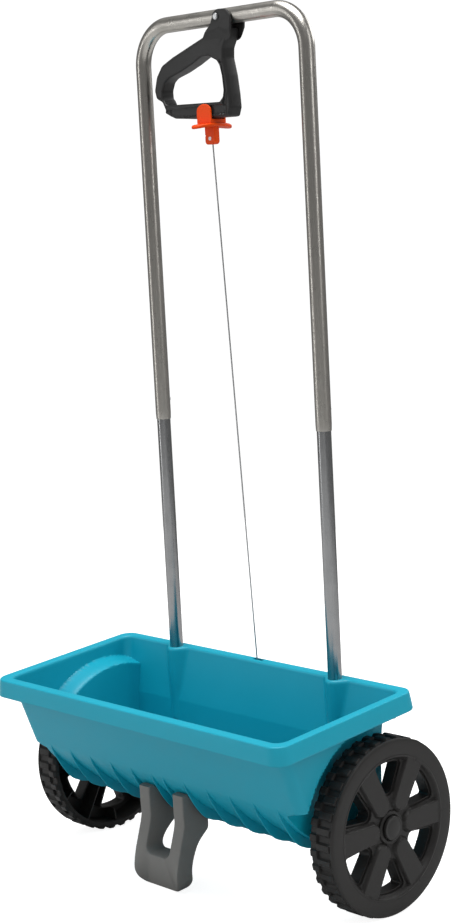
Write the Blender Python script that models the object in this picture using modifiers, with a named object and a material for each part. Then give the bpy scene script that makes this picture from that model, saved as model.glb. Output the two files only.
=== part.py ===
"""Drop spreader for lawns: a trough-shaped hopper on two wheels, with a tubular handle.

Metres, +Z up, -Y is the front. The spreader stands parked on its wheels and its stand foot,
so the hopper leans forward. Three frames carry the pieces, each an empty:
  hopper_frame  origin at the centre of the rim's top face, Z square to the rim
  axle_frame    the same directions, origin on the wheel axis
  handle_frame  origin in the rim plane between the tubes, Z along the tubes
"""

from math import asin, atan2, cos, degrees, hypot, pi, radians, sin, sqrt, tan

import bmesh
import bpy
from mathutils import Matrix, Vector

# ---------------------------------------------------------------- driving dimensions

# Clearances
GAP = 0.0003  # between pieces that touch
RUN = 0.0001  # radial, between a shaft and its bore

# Hopper, in hopper_frame
RIM_LENGTH = 0.530  # outside, along X
RIM_DEPTH = 0.238  # outside, along Y
RIM_BAND = 0.010  # width of the rim's flat top
RIM_PLATE = 0.003
RIM_CORNER = 0.018
SKIRT_DROP = 0.0228
SKIRT_FLARE = 0.003
WALL = 0.0025
END_HALF = 0.2535  # hopper half length under the rim
END_DRAFT = 0.02
FRONT_TOP = 0.107  # front wall's outer face at the rim plane
FRONT_SLOPE = 0.281
BACK_TOP = 0.109
BACK_SLOPE = 0.223
BACK_KINK = 0.073  # depth where the back wall turns steeper
FRONT_KINK = 0.095  # depth where the front wall starts to curl under
HOPPER_DROP = 0.1735  # rim plane to the outside of the bottom
BOTTOM_FRONT = 0.000  # front edge of the flat bottom, Y
BOTTOM_BACK = 0.083
WALL_CORNER = 0.014

# Running gear
AXLE_BACK = 0.0483  # axle behind the rim's centre
AXLE_DROP = 0.1515  # axle below the rim plane
AXLE_R = 0.005
AXLE_HALF = 0.2655
WHEEL_R = 0.1095
WHEEL_SHOULDER_R = 0.1085
TREAD_DEPTH = 0.0025
TREAD_BARS = 36
WHEEL_WIDTH = 0.037
WHEEL_FACE = 0.275  # outer face, from the middle of the spreader
WHEEL_BAND = 0.006  # thickness of the tread's band
SHOULDER_WIDTH = 0.005
SPOKES = 6
SPOKE_TURN = -5.0  # degrees, of the first spoke
SPOKE_IN_R = 0.022  # rounded inner end of a spoke's ridge
SPOKE_HALF = (0.0125, 0.0145)  # ridge half width at the hub and at the rim
WEB_DROP = 0.006  # web below the wheel's face
WEB = 0.003
WINDOW_APEX_R = 0.0246  # where a window's two sides would meet
WINDOW_SPREAD = 24.3  # degrees, half the angle between them
WINDOW_OUT_R = 0.082
WINDOW_DEPTH = 0.025  # a window's walls reach this far behind the face
WINDOW_WALL = 0.0025
HUB_R = 0.0205
HUB_CAP_R = 0.015
ARCH_R = 0.1235  # wheel arch in the hopper's ends
ARCH_HALF = 0.2245  # outside of the narrow part of the ends
ARCH_FRONT_DROP = 0.102
AGITATOR_R = 0.0165
AGITATOR_HALF = 0.205
BUSH_R = 0.008
BUSH_FLANGE_R = 0.0125
BUSH_FLANGE = 0.002

# Ribs under the front wall
RIB_HALF = 0.001
RIB_PLACES = (0.0103, 0.0496, 0.0900, 0.1304, 0.1708, 0.2112)
RIB_REACH = HOPPER_DROP - 0.0015  # depth at which a rib runs out under the bottom

# Outlets and shutter
OUTLETS = 16
OUTLET_PITCH = 0.025
OUTLET_SIZE = (0.0055, 0.012)
SHUTTER_THICK = 0.0025
SHUTTER_FRONT = 0.012
SHUTTER_BACK = 0.0775
SHUTTER_HALF = 0.205
RAIL_DEPTH = 0.0125
RAIL_GAP = (0.032, 0.045)

# Stand foot
FOOT_HALF = 0.0407
FOOT_SLOT_HALF = 0.0217
FOOT_SLOT_DROP = HOPPER_DROP + 0.0255

# Handle, in handle_frame
TUBE_SPREAD = 0.147  # tube axis from the middle
TUBE_SEAT = 0.1037  # tube axis behind the rim's centre, in the rim plane
TUBE_LEAN = 3.99  # degrees back from square to the rim
BOW_R = 0.0101
BOW_WALL = 0.0008
LOWER_R = 0.0090
LOWER_WALL = 0.0015
JOINT_UP = 0.312  # lower edge of the bow's legs
JOINT_LAP = 0.060
SCREW_ABOVE_JOINT = 0.026
BAR_UP = 0.823  # axis of the top bar
BEND_R = 0.050
TUBE_INTO_SOCKET = 0.098
SOCKET_R = 0.0125
SOCKET_DEPTH = 0.104

# Lever, in handle_frame about its pivot
PIVOT_X = 0.0075
LEVER_HALF = 0.0105
HEAD_HALF = 0.0134
LEVER_SWING = 12.0  # degrees
PIN_R = 0.0025
DOSE_X = -0.0315  # dose slider, from the pivot
NIPPLE_DROP = 0.1475
NIPPLE_R = 0.0025
WIRE_R = 0.001

# Linkage behind the hopper, in hopper_frame
LINK_Y = 0.1125
LINK_R = 0.002
WIRE_Y = 0.1135  # where the wire passes the rim
WIRE_X = -0.0010
BALL_R = 0.0036
BALL_DROP = 0.041
LINK_PIN_DROP = 0.150
CRANK_ARM = 0.030
CRANK_LEG = 0.018
CRANK_PIN_R = 0.0015
LINK_TRAVEL = 0.0114
BALL_LASH = 0.0072  # the ball's free rise in the fork, for the widest dose setting
GUIDE_DROP = 0.086

# Parked attitude
FOOT_SOLE_Y = -0.0825
FOOT_SOLE_DROP = HOPPER_DROP + 0.0702

# ---------------------------------------------------------------- scene and frames

for old in list(bpy.data.objects):
    bpy.data.objects.remove(old, do_unlink=True)

parts = bpy.data.collections.new("drop_spreader")
cutters = bpy.data.collections.new("cutters")
bpy.context.scene.collection.children.link(parts)
bpy.context.scene.collection.children.link(cutters)


def frame(name, location, rotation_x=0.0, parent=None):
    """An empty that carries pieces."""
    empty = bpy.data.objects.new(name, None)
    parts.objects.link(empty)
    empty.parent = parent
    empty.location = location
    empty.rotation_euler = (rotation_x, 0.0, 0.0)
    return empty


def parked_lean():
    """The forward lean at which the foot's sole and the wheels stand on one plane."""
    back, drop = AXLE_BACK - FOOT_SOLE_Y, FOOT_SOLE_DROP - AXLE_DROP
    reach = hypot(back, drop)
    return atan2(back, drop) - atan2(sqrt(reach**2 - WHEEL_R**2), WHEEL_R)


LEAN = parked_lean()


def leaned(y, z):
    """World (Y, Z) of a point given in hopper_frame, with the axle over the world's Y = 0."""
    dy, dz = y - AXLE_BACK, z + AXLE_DROP
    return dy * cos(LEAN) - dz * sin(LEAN), dy * sin(LEAN) + dz * cos(LEAN) + WHEEL_R


front_reach = min(
    leaned(-RIM_DEPTH / 2, 0.0)[0], leaned(-RIM_DEPTH / 2 - SKIRT_FLARE, -SKIRT_DROP)[0]
)
CENTRE_SHIFT = -(front_reach + WHEEL_R) / 2  # puts the origin under the middle of the box

axle_frame = frame("axle_frame", (0, CENTRE_SHIFT, WHEEL_R), LEAN)
hopper_frame = frame("hopper_frame", (0, -AXLE_BACK, AXLE_DROP), parent=axle_frame)
handle_frame = frame("handle_frame", (0, TUBE_SEAT, 0), -radians(TUBE_LEAN), hopper_frame)
lever_axis = frame("lever_axis", (PIVOT_X, 0, BAR_UP), parent=handle_frame)
dose_frame = frame("dose_frame", (DOSE_X, 0, 0), parent=lever_axis)
nipple_axis = frame("nipple_axis", (0, 0, -NIPPLE_DROP), parent=dose_frame)
crank_axis = frame(
    "crank_axis", (-CRANK_ARM, LINK_Y, -LINK_PIN_DROP + LINK_TRAVEL / 2), parent=hopper_frame
)

# ---------------------------------------------------------------- materials and makers


def finish(name, colour, roughness, metallic=0.0):
    material = bpy.data.materials.new(name)
    material.use_nodes = True
    shader = material.node_tree.nodes["Principled BSDF"]
    shader.inputs["Base Color"].default_value = (*colour, 1.0)
    shader.inputs["Roughness"].default_value = roughness
    shader.inputs["Metallic"].default_value = metallic
    material.diffuse_color = (*colour, 1.0)
    return material


TEAL = finish("teal_plastic", (0.0, 0.27, 0.37), 0.45)
TEAL_DARK = finish("teal_rail_plastic", (0.0, 0.22, 0.30), 0.5)
BLACK = finish("black_plastic", (0.035, 0.033, 0.032), 0.5)
GREY = finish("grey_plastic", (0.13, 0.13, 0.125), 0.5)
LEVER_BLACK = finish("lever_plastic", (0.03, 0.03, 0.03), 0.4)
ORANGE = finish("orange_plastic", (0.72, 0.10, 0.01), 0.4)
STAINLESS = finish("stainless_tube", (0.55, 0.53, 0.50), 0.3, 1.0)
ZINC = finish("zinc_tube", (0.70, 0.72, 0.75), 0.2, 1.0)
STEEL = finish("zinc_steel", (0.60, 0.61, 0.62), 0.35, 1.0)
BUSH_WHITE = finish("bush_plastic", (0.75, 0.74, 0.70), 0.4)
NYLON = finish("nylon", (0.55, 0.54, 0.50), 0.5)


def piece(name, mesh_or_bm, parent, material, cutter=False):
    """Links a mesh as one named piece under its frame."""
    if isinstance(mesh_or_bm, bmesh.types.BMesh):
        mesh = bpy.data.meshes.new(name)
        bmesh.ops.recalc_face_normals(mesh_or_bm, faces=mesh_or_bm.faces)
        mesh_or_bm.to_mesh(mesh)
        mesh_or_bm.free()
    else:
        mesh = mesh_or_bm
    mesh.shade_smooth()
    mesh.set_sharp_from_angle(angle=radians(32))
    made = bpy.data.objects.new(name, mesh)
    made.parent = parent
    if cutter:
        cutters.objects.link(made)
        made.hide_render = True
        made.display_type = "WIRE"
    else:
        parts.objects.link(made)
        mesh.materials.append(material)
    return made


def combine(target, other, operation="DIFFERENCE"):
    """Cuts or joins with an exact Boolean."""
    modifier = target.modifiers.new(other.name, "BOOLEAN")
    modifier.operation = operation
    modifier.solver = "EXACT"
    modifier.object = other
    return target


def tool(name, bm, parent):
    return piece(name, bm, parent, None, cutter=True)


def box(low, high):
    bm = bmesh.new()
    bmesh.ops.create_cube(bm, size=1.0)
    size = [h - l for l, h in zip(low, high)]
    middle = [(h + l) / 2 for l, h in zip(low, high)]
    bmesh.ops.scale(bm, vec=size, verts=bm.verts)
    bmesh.ops.translate(bm, vec=middle, verts=bm.verts)
    return bm


def rod(radius, start, end, sides=24, radius_end=None):
    """A round bar or cone from one point to another."""
    start, end = Vector(start), Vector(end)
    run = end - start
    bm = bmesh.new()
    bmesh.ops.create_cone(
        bm,
        cap_ends=True,
        segments=sides,
        radius1=radius,
        radius2=radius if radius_end is None else radius_end,
        depth=run.length,
    )
    turn = run.to_track_quat("Z", "Y").to_matrix().to_4x4()
    bmesh.ops.transform(bm, matrix=Matrix.Translation((start + end) / 2) @ turn, verts=bm.verts)
    return bm


def joined(*shapes):
    """Several closed shapes in one cutter."""
    whole = bmesh.new()
    for shape in shapes:
        mesh = bpy.data.meshes.new("scratch")
        shape.to_mesh(mesh)
        shape.free()
        whole.from_mesh(mesh)
        bpy.data.meshes.remove(mesh)
    return whole


def prism(outline, low, high, across="X"):
    """A flat outline pushed along one axis. The outline gives the other two axes in order."""
    places = {
        "X": lambda a, b: (low, a, b),
        "Y": lambda a, b: (a, low, b),
        "Z": lambda a, b: (a, b, low),
    }
    ways = {"X": (1, 0, 0), "Y": (0, 1, 0), "Z": (0, 0, 1)}
    bm = bmesh.new()
    face = bm.faces.new([bm.verts.new(places[across](a, b)) for a, b in outline])
    pushed = bmesh.ops.extrude_face_region(bm, geom=[face])
    moved = [v for v in pushed["geom"] if isinstance(v, bmesh.types.BMVert)]
    bmesh.ops.translate(bm, vec=Vector(ways[across]) * (high - low), verts=moved)
    return bm


def arc(centre, radius, start, end, steps):
    """Points on an arc, in degrees."""
    turns = [radians(start + (end - start) * i / steps) for i in range(steps + 1)]
    return [(centre[0] + radius * cos(t), centre[1] + radius * sin(t)) for t in turns]


def rounded(outline, radii, steps=4):
    """The outline with each corner replaced by an arc of its radius."""
    result = []
    count = len(outline)
    for i, (corner, radius) in enumerate(zip(outline, radii)):
        if radius <= 0:
            result.append(corner)
            continue
        here = Vector(corner)
        before = (Vector(outline[i - 1]) - here).normalized()
        after = (Vector(outline[(i + 1) % count]) - here).normalized()
        half = before.angle(after) / 2
        along = radius / tan(half)
        middle = here + (before + after).normalized() * (radius / sin(half))
        a, b = here + before * along - middle, here + after * along - middle
        turn = atan2(a.x * b.y - a.y * b.x, a.dot(b))
        for k in range(steps + 1):
            t = turn * k / steps
            spot = middle + Vector((a.x * cos(t) - a.y * sin(t), a.x * sin(t) + a.y * cos(t)))
            result.append((spot.x, spot.y))
    return result


def ring_section(x_half, y_front, y_back, corner, z, steps=4):
    """A level rounded rectangle, as a loop of points."""
    corners = [(x_half, y_front), (x_half, y_back), (-x_half, y_back), (-x_half, y_front)]
    return [(x, y, z) for x, y in rounded(corners, [corner] * 4, steps)]


def loft(sections):
    """A closed solid through loops of equal count."""
    bm = bmesh.new()
    loops = [[bm.verts.new(p) for p in section] for section in sections]
    for one, two in zip(loops, loops[1:]):
        for i in range(len(one)):
            j = (i + 1) % len(one)
            bm.faces.new((one[i], one[j], two[j], two[i]))
    bm.faces.new(loops[0][::-1])
    bm.faces.new(loops[-1])
    return bm


def turned(profile, sides, parent, name, axis="X", material=None, cutter=False):
    """A profile of (radius, along) pairs turned about an axis, from a Screw modifier."""
    bm = bmesh.new()
    points = [bm.verts.new((r, 0, a)) for r, a in profile]
    for one, two in zip(points, points[1:]):
        bm.edges.new((one, two))
    mesh = bpy.data.meshes.new(name)
    bm.to_mesh(mesh)
    bm.free()
    made = bpy.data.objects.new(name, mesh)
    (cutters if cutter else parts).objects.link(made)
    screw = made.modifiers.new("turn", "SCREW")
    screw.steps = screw.render_steps = sides
    screw.use_merge_vertices = True
    screw.merge_threshold = 0.00001
    solid = solid_copy(made, name)
    if axis == "X":
        solid.transform(Matrix.Rotation(pi / 2, 4, "Y"))
    bpy.data.objects.remove(made)
    return piece(name, solid, parent, material, cutter)


def solid_copy(source, name):
    """The evaluated mesh of an object, with its doubles merged and its faces turned outwards."""
    bpy.context.view_layer.update()
    graph = bpy.context.evaluated_depsgraph_get()
    mesh = bpy.data.meshes.new_from_object(source.evaluated_get(graph))
    bm = bmesh.new()
    bm.from_mesh(mesh)
    bmesh.ops.remove_doubles(bm, verts=bm.verts, dist=0.00001)
    bmesh.ops.recalc_face_normals(bm, faces=bm.faces)
    bm.to_mesh(mesh)
    bm.free()
    mesh.name = name
    return mesh


def swept(name, points, radius, parent, material, resolution=2, wall=0.0):
    """A round bar along a line of points, or a tube with open ends where it has a wall."""
    curve = bpy.data.curves.new(name, "CURVE")
    curve.dimensions = "3D"
    spline = curve.splines.new("POLY")
    spline.points.add(len(points) - 1)
    for spot, point in zip(spline.points, points):
        spot.co = (*point, 1.0)
    curve.bevel_depth = radius
    curve.bevel_resolution = resolution
    curve.use_fill_caps = wall == 0.0
    guide = bpy.data.objects.new(name, curve)
    parts.objects.link(guide)
    mesh = solid_copy(guide, name)
    bpy.data.objects.remove(guide)
    made = piece(name, mesh, parent, material)
    if wall:
        shell = made.modifiers.new("wall", "SOLIDIFY")
        shell.thickness = wall
        shell.offset = -1.0
    return made


# ---------------------------------------------------------------- hopper


def front_wall(depth):
    """Outer face of the front wall between the ribs: its Y at a depth under the rim."""
    if depth <= FRONT_KINK:
        return -FRONT_TOP + FRONT_SLOPE * depth
    curl = (depth - FRONT_KINK) / (HOPPER_DROP - FRONT_KINK)
    at_kink = -FRONT_TOP + FRONT_SLOPE * FRONT_KINK
    start = FRONT_SLOPE * (HOPPER_DROP - FRONT_KINK)
    return at_kink + start * curl + (BOTTOM_FRONT - at_kink - start) * curl**1.7


def back_wall(depth):
    """Outer face of the back wall."""
    at_kink = BACK_TOP - BACK_SLOPE * BACK_KINK
    if depth <= BACK_KINK:
        return BACK_TOP - BACK_SLOPE * depth
    return at_kink + (BOTTOM_BACK - at_kink) * (depth - BACK_KINK) / (HOPPER_DROP - BACK_KINK)


def hopper_sections(inset, top, bottom):
    """Level sections of the hopper's outside, or of its cavity when inset by the wall."""
    depths = [0.0, 0.04, BACK_KINK, FRONT_KINK, 0.108, 0.120, 0.132, 0.144, 0.156, 0.166, HOPPER_DROP]
    sections = []
    for depth in depths:
        end = END_HALF - END_DRAFT * depth - inset
        slant = 1.0 if depth < 0.12 else 1.35
        front, back = front_wall(depth) + inset * slant, back_wall(depth) - inset
        z = -depth
        if depth == 0.0:
            z = top
        if depth == HOPPER_DROP:
            z = -depth + bottom
        sections.append(ring_section(end, front, back, WALL_CORNER - inset, z, 3))
    return sections


def arch_outline(grow):
    """Side view of the space for a wheel: an arc over the axle, level in front."""
    radius = ARCH_R + grow
    level = -ARCH_FRONT_DROP + grow
    front = degrees(atan2(level + AXLE_DROP, -sqrt(radius**2 - (level + AXLE_DROP) ** 2)))
    points = arc((AXLE_BACK, -AXLE_DROP), radius, front, 35.0, 14)
    back = points[-1]
    return [(-0.2, level)] + points + [(0.2, back[1]), (0.2, -0.3), (-0.2, -0.3)]


def rib_outline():
    """A rib stands proud of the curled lower wall: its free edge is an arc that starts on the wall."""
    top = (front_wall(FRONT_KINK), -FRONT_KINK)
    low = (BOTTOM_FRONT + 0.004, -RIB_REACH)
    curl = HOPPER_DROP - FRONT_KINK
    bulge = (-0.0640, -FRONT_KINK - 0.573 * curl)
    count = 9
    edge = []
    for i in range(count + 1):
        t = i / count
        edge.append(
            tuple(
                (1 - t) ** 2 * top[k] + 2 * t * (1 - t) * (2 * bulge[k] - (top[k] + low[k]) / 2)
                + t**2 * low[k]
                for k in range(2)
            )
        )
    depths = [FRONT_KINK + share * curl for share in (0.83, 0.64, 0.45, 0.25, 0.06)]
    inner = [(front_wall(d) + WALL * 0.6, -d) for d in depths]
    return edge + inner


def build_hopper():
    hopper = piece("hopper", loft(hopper_sections(0.0, -0.0005, 0.0)), hopper_frame, TEAL)
    for side, name in ((-1, "left"), (1, "right")):
        low, high = sorted((side * ARCH_HALF, side * 0.4))
        combine(hopper, tool(f"arch_{name}", prism(arch_outline(0.0), low, high), hopper_frame))

    half_x, half_y = RIM_LENGTH / 2, RIM_DEPTH / 2
    rim = tool(
        "rim_block",
        loft(
            [
                ring_section(half_x, -half_y, half_y, RIM_CORNER, 0.0),
                ring_section(
                    half_x + SKIRT_FLARE,
                    -half_y - SKIRT_FLARE,
                    half_y + SKIRT_FLARE,
                    RIM_CORNER + SKIRT_FLARE,
                    -SKIRT_DROP,
                ),
            ]
        ),
        hopper_frame,
    )
    flare = SKIRT_FLARE / SKIRT_DROP
    pocket = [
        ring_section(
            half_x + flare * depth - WALL,
            -half_y - flare * depth + WALL,
            half_y + flare * depth - WALL,
            RIM_CORNER + flare * depth - WALL,
            -depth,
        )
        for depth in (RIM_PLATE, SKIRT_DROP + 0.01)
    ]
    combine(rim, tool("rim_pocket", loft(pocket), hopper_frame))
    combine(hopper, rim, "UNION")

    for place in RIB_PLACES:
        for side, name in ((-1, "left"), (1, "right")):
            x = side * place
            rib = prism(rib_outline(), x - RIB_HALF, x + RIB_HALF)
            combine(hopper, tool(f"rib_{name}_{round(place * 1000)}", rib, hopper_frame), "UNION")

    for side, name in ((-1, "left"), (1, "right")):
        x = side * TUBE_SPREAD
        socket = rod(SOCKET_R, (x, 0, -SOCKET_DEPTH), (x, 0, -0.002), 20)
        combine(hopper, tool(f"socket_{name}", socket, handle_frame), "UNION")

    boss = rod(0.0065, (0, -0.040, 0), (0, -0.0095, 0), 16)
    combine(hopper, tool("crank_boss", boss, crank_axis), "UNION")
    pad = box((-0.009, 0.088, -GUIDE_DROP - 0.006), (0.027, 0.0957, -GUIDE_DROP + 0.006))
    combine(hopper, tool("guide_pad", pad, hopper_frame), "UNION")

    cavity = tool("cavity", loft(hopper_sections(WALL, 0.02, WALL)), hopper_frame)
    for side, name in ((-1, "left"), (1, "right")):
        low, high = sorted((side * (ARCH_HALF - WALL), side * 0.4))
        combine(cavity, tool(f"arch_wall_{name}", prism(arch_outline(WALL), low, high), hopper_frame))
        x = side * TUBE_SPREAD
        keep = rod(SOCKET_R, (x, 0, -SOCKET_DEPTH), (x, 0, 0.03), 20)
        combine(cavity, tool(f"socket_keep_{name}", keep, handle_frame))
    combine(hopper, cavity)

    bores = []
    for side in (-1, 1):
        x = side * TUBE_SPREAD
        bores.append(rod(LOWER_R + GAP, (x, 0, -TUBE_INTO_SOCKET - GAP), (x, 0, 0.05), 24))
    combine(hopper, tool("socket_bores", joined(*bores), handle_frame))

    holes = []
    for side in (-1, 1):
        holes.append(rod(BUSH_R + GAP, (side * 0.20, 0, 0), (side * 0.23, 0, 0), 24))
    combine(hopper, tool("bush_holes", joined(*holes), axle_frame))
    combine(hopper, tool("crank_hole", rod(0.0028, (0, -0.022, 0), (0, 0.01, 0), 12), crank_axis))
    screw_hole = rod(0.0018, (0.019, 0.0905, -GUIDE_DROP), (0.019, 0.12, -GUIDE_DROP), 12)
    combine(hopper, tool("guide_screw_hole", screw_hole, hopper_frame))
    wire_hole = box(
        (WIRE_X - 0.0065, WIRE_Y - 0.0030, -0.01), (WIRE_X + 0.0110, WIRE_Y + 0.0027, 0.01)
    )
    combine(hopper, tool("wire_hole", wire_hole, hopper_frame))
    outlets = outlet_tools(0.0, -HOPPER_DROP - 0.01, -HOPPER_DROP + 0.01)
    combine(hopper, tool("outlets", outlets, hopper_frame))
    return hopper


def outlet_tools(shift, low, high):
    """The row of outlet slots under the agitator."""
    slots = []
    for i in range(OUTLETS):
        x = (i - (OUTLETS - 1) / 2) * OUTLET_PITCH + shift
        slots.append(
            box(
                (x - OUTLET_SIZE[0] / 2, AXLE_BACK - OUTLET_SIZE[1] / 2, low),
                (x + OUTLET_SIZE[0] / 2, AXLE_BACK + OUTLET_SIZE[1] / 2, high),
            )
        )
    return joined(*slots)


# ---------------------------------------------------------------- stand foot


def ground_under(y):
    """Depth of the ground below the rim plane, at a Y of hopper_frame."""
    return AXLE_DROP + (WHEEL_R + (y - AXLE_BACK) * sin(LEAN)) / cos(LEAN)


def foot_outline():
    """Side view: a straight front that kicks forward to the toe, and a hollow back.

    Heights are from the hopper's bottom. The seat follows the hopper's front wall.
    """
    seat_gap = 0.0006
    toe = FOOT_SOLE_Y
    front = [(-0.0770, 0.0550), (-0.0785, 0.0325), (-0.0795, 0.0155), (-0.0885, -0.0085)]
    front += [(-0.0955, -0.0265), (-0.1000, -0.0445), (-0.0990, -0.0575), (-0.0935, -0.0660)]
    back = [(-0.0745, -0.0670), (-0.0725, -0.0585), (-0.0735, -0.0480), (-0.0720, -0.0383)]
    back += [(-0.0665, -0.0251), (-0.0580, -0.0123), (-0.0470, -0.0035), (-0.0395, 0.0015)]
    back += [(-0.0375, 0.0090)]
    sole = [(toe - 0.004, -ground_under(toe - 0.004)), (toe + 0.004, -ground_under(toe + 0.004))]
    seat = []
    for i in range(7):
        depth = HOPPER_DROP - 0.0200 - 0.0355 * i / 6
        seat.append((front_wall(depth) - seat_gap, -depth))
    front = [(y, z - HOPPER_DROP) for y, z in front]
    back = [(y, z - HOPPER_DROP) for y, z in back]
    return front + sole + back + seat


def build_foot():
    foot = piece("stand_foot", prism(foot_outline(), -FOOT_HALF, FOOT_HALF), hopper_frame, GREY)
    slot = [(-FOOT_SLOT_HALF, -0.05), (-FOOT_SLOT_HALF, -FOOT_SLOT_DROP)]
    slot += [(FOOT_SLOT_HALF, -FOOT_SLOT_DROP), (FOOT_SLOT_HALF, -0.05)]
    slot = rounded(slot, (0, 0.010, 0.010, 0), 4)
    combine(foot, tool("foot_slot", prism(slot, -0.2, 0.1, "Y"), hopper_frame))
    for side, name in ((-1, "left"), (1, "right")):
        radius = 0.022
        x, z = side * FOOT_HALF, -FOOT_SOLE_DROP - 0.004
        centre = (x - side * radius, z + radius)
        start, end = (270, 360) if side > 0 else (270, 180)
        corner = arc(centre, radius, start, end, 6)
        corner += [(x + side * 0.01, z + radius), (x + side * 0.01, z - 0.01), (centre[0], z - 0.01)]
        combine(foot, tool(f"foot_corner_{name}", prism(corner, -0.2, 0.1, "Y"), hopper_frame))
    return foot


# ---------------------------------------------------------------- handle tubes


def build_tubes():
    for side, name in ((-1, "left"), (1, "right")):
        x = side * TUBE_SPREAD
        low, high = -TUBE_INTO_SOCKET, JOINT_UP + JOINT_LAP
        tube = piece(f"lower_tube_{name}", rod(LOWER_R, (x, 0, low), (x, 0, high)), handle_frame, ZINC)
        bore = rod(LOWER_R - LOWER_WALL, (x, 0, low - 0.01), (x, 0, high + 0.01))
        combine(tube, tool(f"lower_bore_{name}", bore, handle_frame))
        screw_up = JOINT_UP + SCREW_ABOVE_JOINT
        cross = rod(0.0021, (x, 0, screw_up), (x, 0.02, screw_up), 12)
        combine(tube, tool(f"lower_cross_hole_{name}", cross, handle_frame))

    left = arc((-TUBE_SPREAD + BEND_R, BAR_UP - BEND_R), BEND_R, 180, 90, 7)
    right = arc((TUBE_SPREAD - BEND_R, BAR_UP - BEND_R), BEND_R, 90, 0, 7)
    route = [(-TUBE_SPREAD, JOINT_UP)] + left + right + [(TUBE_SPREAD, JOINT_UP)]
    route = [(x, 0, z) for x, z in route]
    bow = swept("handle_bow", route, BOW_R, handle_frame, STAINLESS, 6, BOW_WALL)
    screw_up = JOINT_UP + SCREW_ABOVE_JOINT
    holes = []
    for x in (-TUBE_SPREAD, TUBE_SPREAD):
        holes.append(rod(0.0021, (x, 0, screw_up), (x, 0.02, screw_up), 12))
    holes.append(rod(PIN_R + 0.00015, (PIVOT_X, -0.02, BAR_UP), (PIVOT_X, 0.02, BAR_UP), 16))
    combine(bow, tool("bow_holes", joined(*holes), handle_frame))

    for side, name in ((-1, "left"), (1, "right")):
        x, z = side * TUBE_SPREAD, JOINT_UP + SCREW_ABOVE_JOINT
        profile = [(0, 0.0128), (0.0018, 0.0127), (0.0032, 0.0118), (0.0034, 0.0105)]
        profile += [(0.0018, 0.0105), (0.0018, 0.0040), (0, 0.0030)]
        screw = turned(profile, 12, handle_frame, f"tube_screw_{name}", "Z", STEEL)
        screw.location = (x, 0, z)
        screw.rotation_euler = (-pi / 2, 0, 0)


# ---------------------------------------------------------------- wheels and axle


def wheel_profile():
    """Half section of the wheel from its bore out round the tread, as (radius, distance along X)."""
    face, inner = WHEEL_FACE, WHEEL_FACE - WHEEL_WIDTH
    base = WHEEL_SHOULDER_R - TREAD_DEPTH
    web_out, web_in = face - WEB_DROP, face - WEB_DROP - WEB
    hub_in = ARCH_HALF + BUSH_FLANGE + 0.0016
    bore, pocket = AXLE_R + RUN, face - 0.010
    return [
        (bore, pocket),
        (HUB_CAP_R - 0.0015, pocket),
        (HUB_CAP_R - 0.0015, face - 0.0035),
        (HUB_R - 0.002, face - 0.0035),
        (HUB_R, web_out),
        (WINDOW_OUT_R + 0.001, web_out),
        (WINDOW_OUT_R + 0.0045, face),
        (WHEEL_SHOULDER_R - 0.004, face),
        (WHEEL_SHOULDER_R, face - 0.003),
        (WHEEL_SHOULDER_R, face - SHOULDER_WIDTH),
        (base, face - SHOULDER_WIDTH),
        (base, inner),
        (base - WHEEL_BAND, inner),
        (base - WHEEL_BAND, web_in),
        (HUB_R - 0.003, web_in),
        (HUB_R - 0.006, hub_in),
        (bore, hub_in),
        (bore, pocket),
    ]


def about_axle(points, turn):
    """Points given along and across a radius, turned to that radius's place on the wheel."""
    return [(u * cos(turn) - v * sin(turn), u * sin(turn) + v * cos(turn)) for u, v in points]


def window_outline(index, grow=0.0):
    """One gap between two spokes, as (Y, Z): two straight sides, an outer arc and round corners."""
    spread = radians(WINDOW_SPREAD)
    apex, out = WINDOW_APEX_R - grow / sin(spread), WINDOW_OUT_R + grow
    along = -apex * cos(spread) + sqrt(out**2 - (apex * sin(spread)) ** 2)
    corner = atan2(along * sin(spread), apex + along * cos(spread))
    points = [(apex, 0.0)]
    points += [(out * cos(corner * k / 2), out * sin(corner * k / 2)) for k in (-2, -1, 0, 1, 2)]
    points = rounded(points, [0.010 + grow, 0.005, 0, 0, 0, 0.005], 3)
    return about_axle(points, radians(SPOKE_TURN) + 2 * pi * (index + 0.5) / SPOKES)


def spoke_outline(index):
    """One spoke's raised ridge, with a round inner end."""
    near, far = SPOKE_HALF
    end = arc((SPOKE_IN_R + near, 0.0), near, 90, 270, 6)
    out = WINDOW_OUT_R + 0.006
    return about_axle(end + [(out, -far), (out, far)], radians(SPOKE_TURN) + 2 * pi * index / SPOKES)


def tread_outline():
    """The bars round the tread: a toothed ring."""
    root = WHEEL_SHOULDER_R - TREAD_DEPTH - 0.0008
    step = 2 * pi / TREAD_BARS
    outline = []
    for i in range(TREAD_BARS):
        turn = step * (i - 0.5) - pi / 2 - LEAN
        for share, radius in ((-0.27, root), (-0.22, WHEEL_R), (0.22, WHEEL_R), (0.27, root)):
            outline.append((radius * cos(turn + share * step), radius * sin(turn + share * step)))
    return outline


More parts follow.
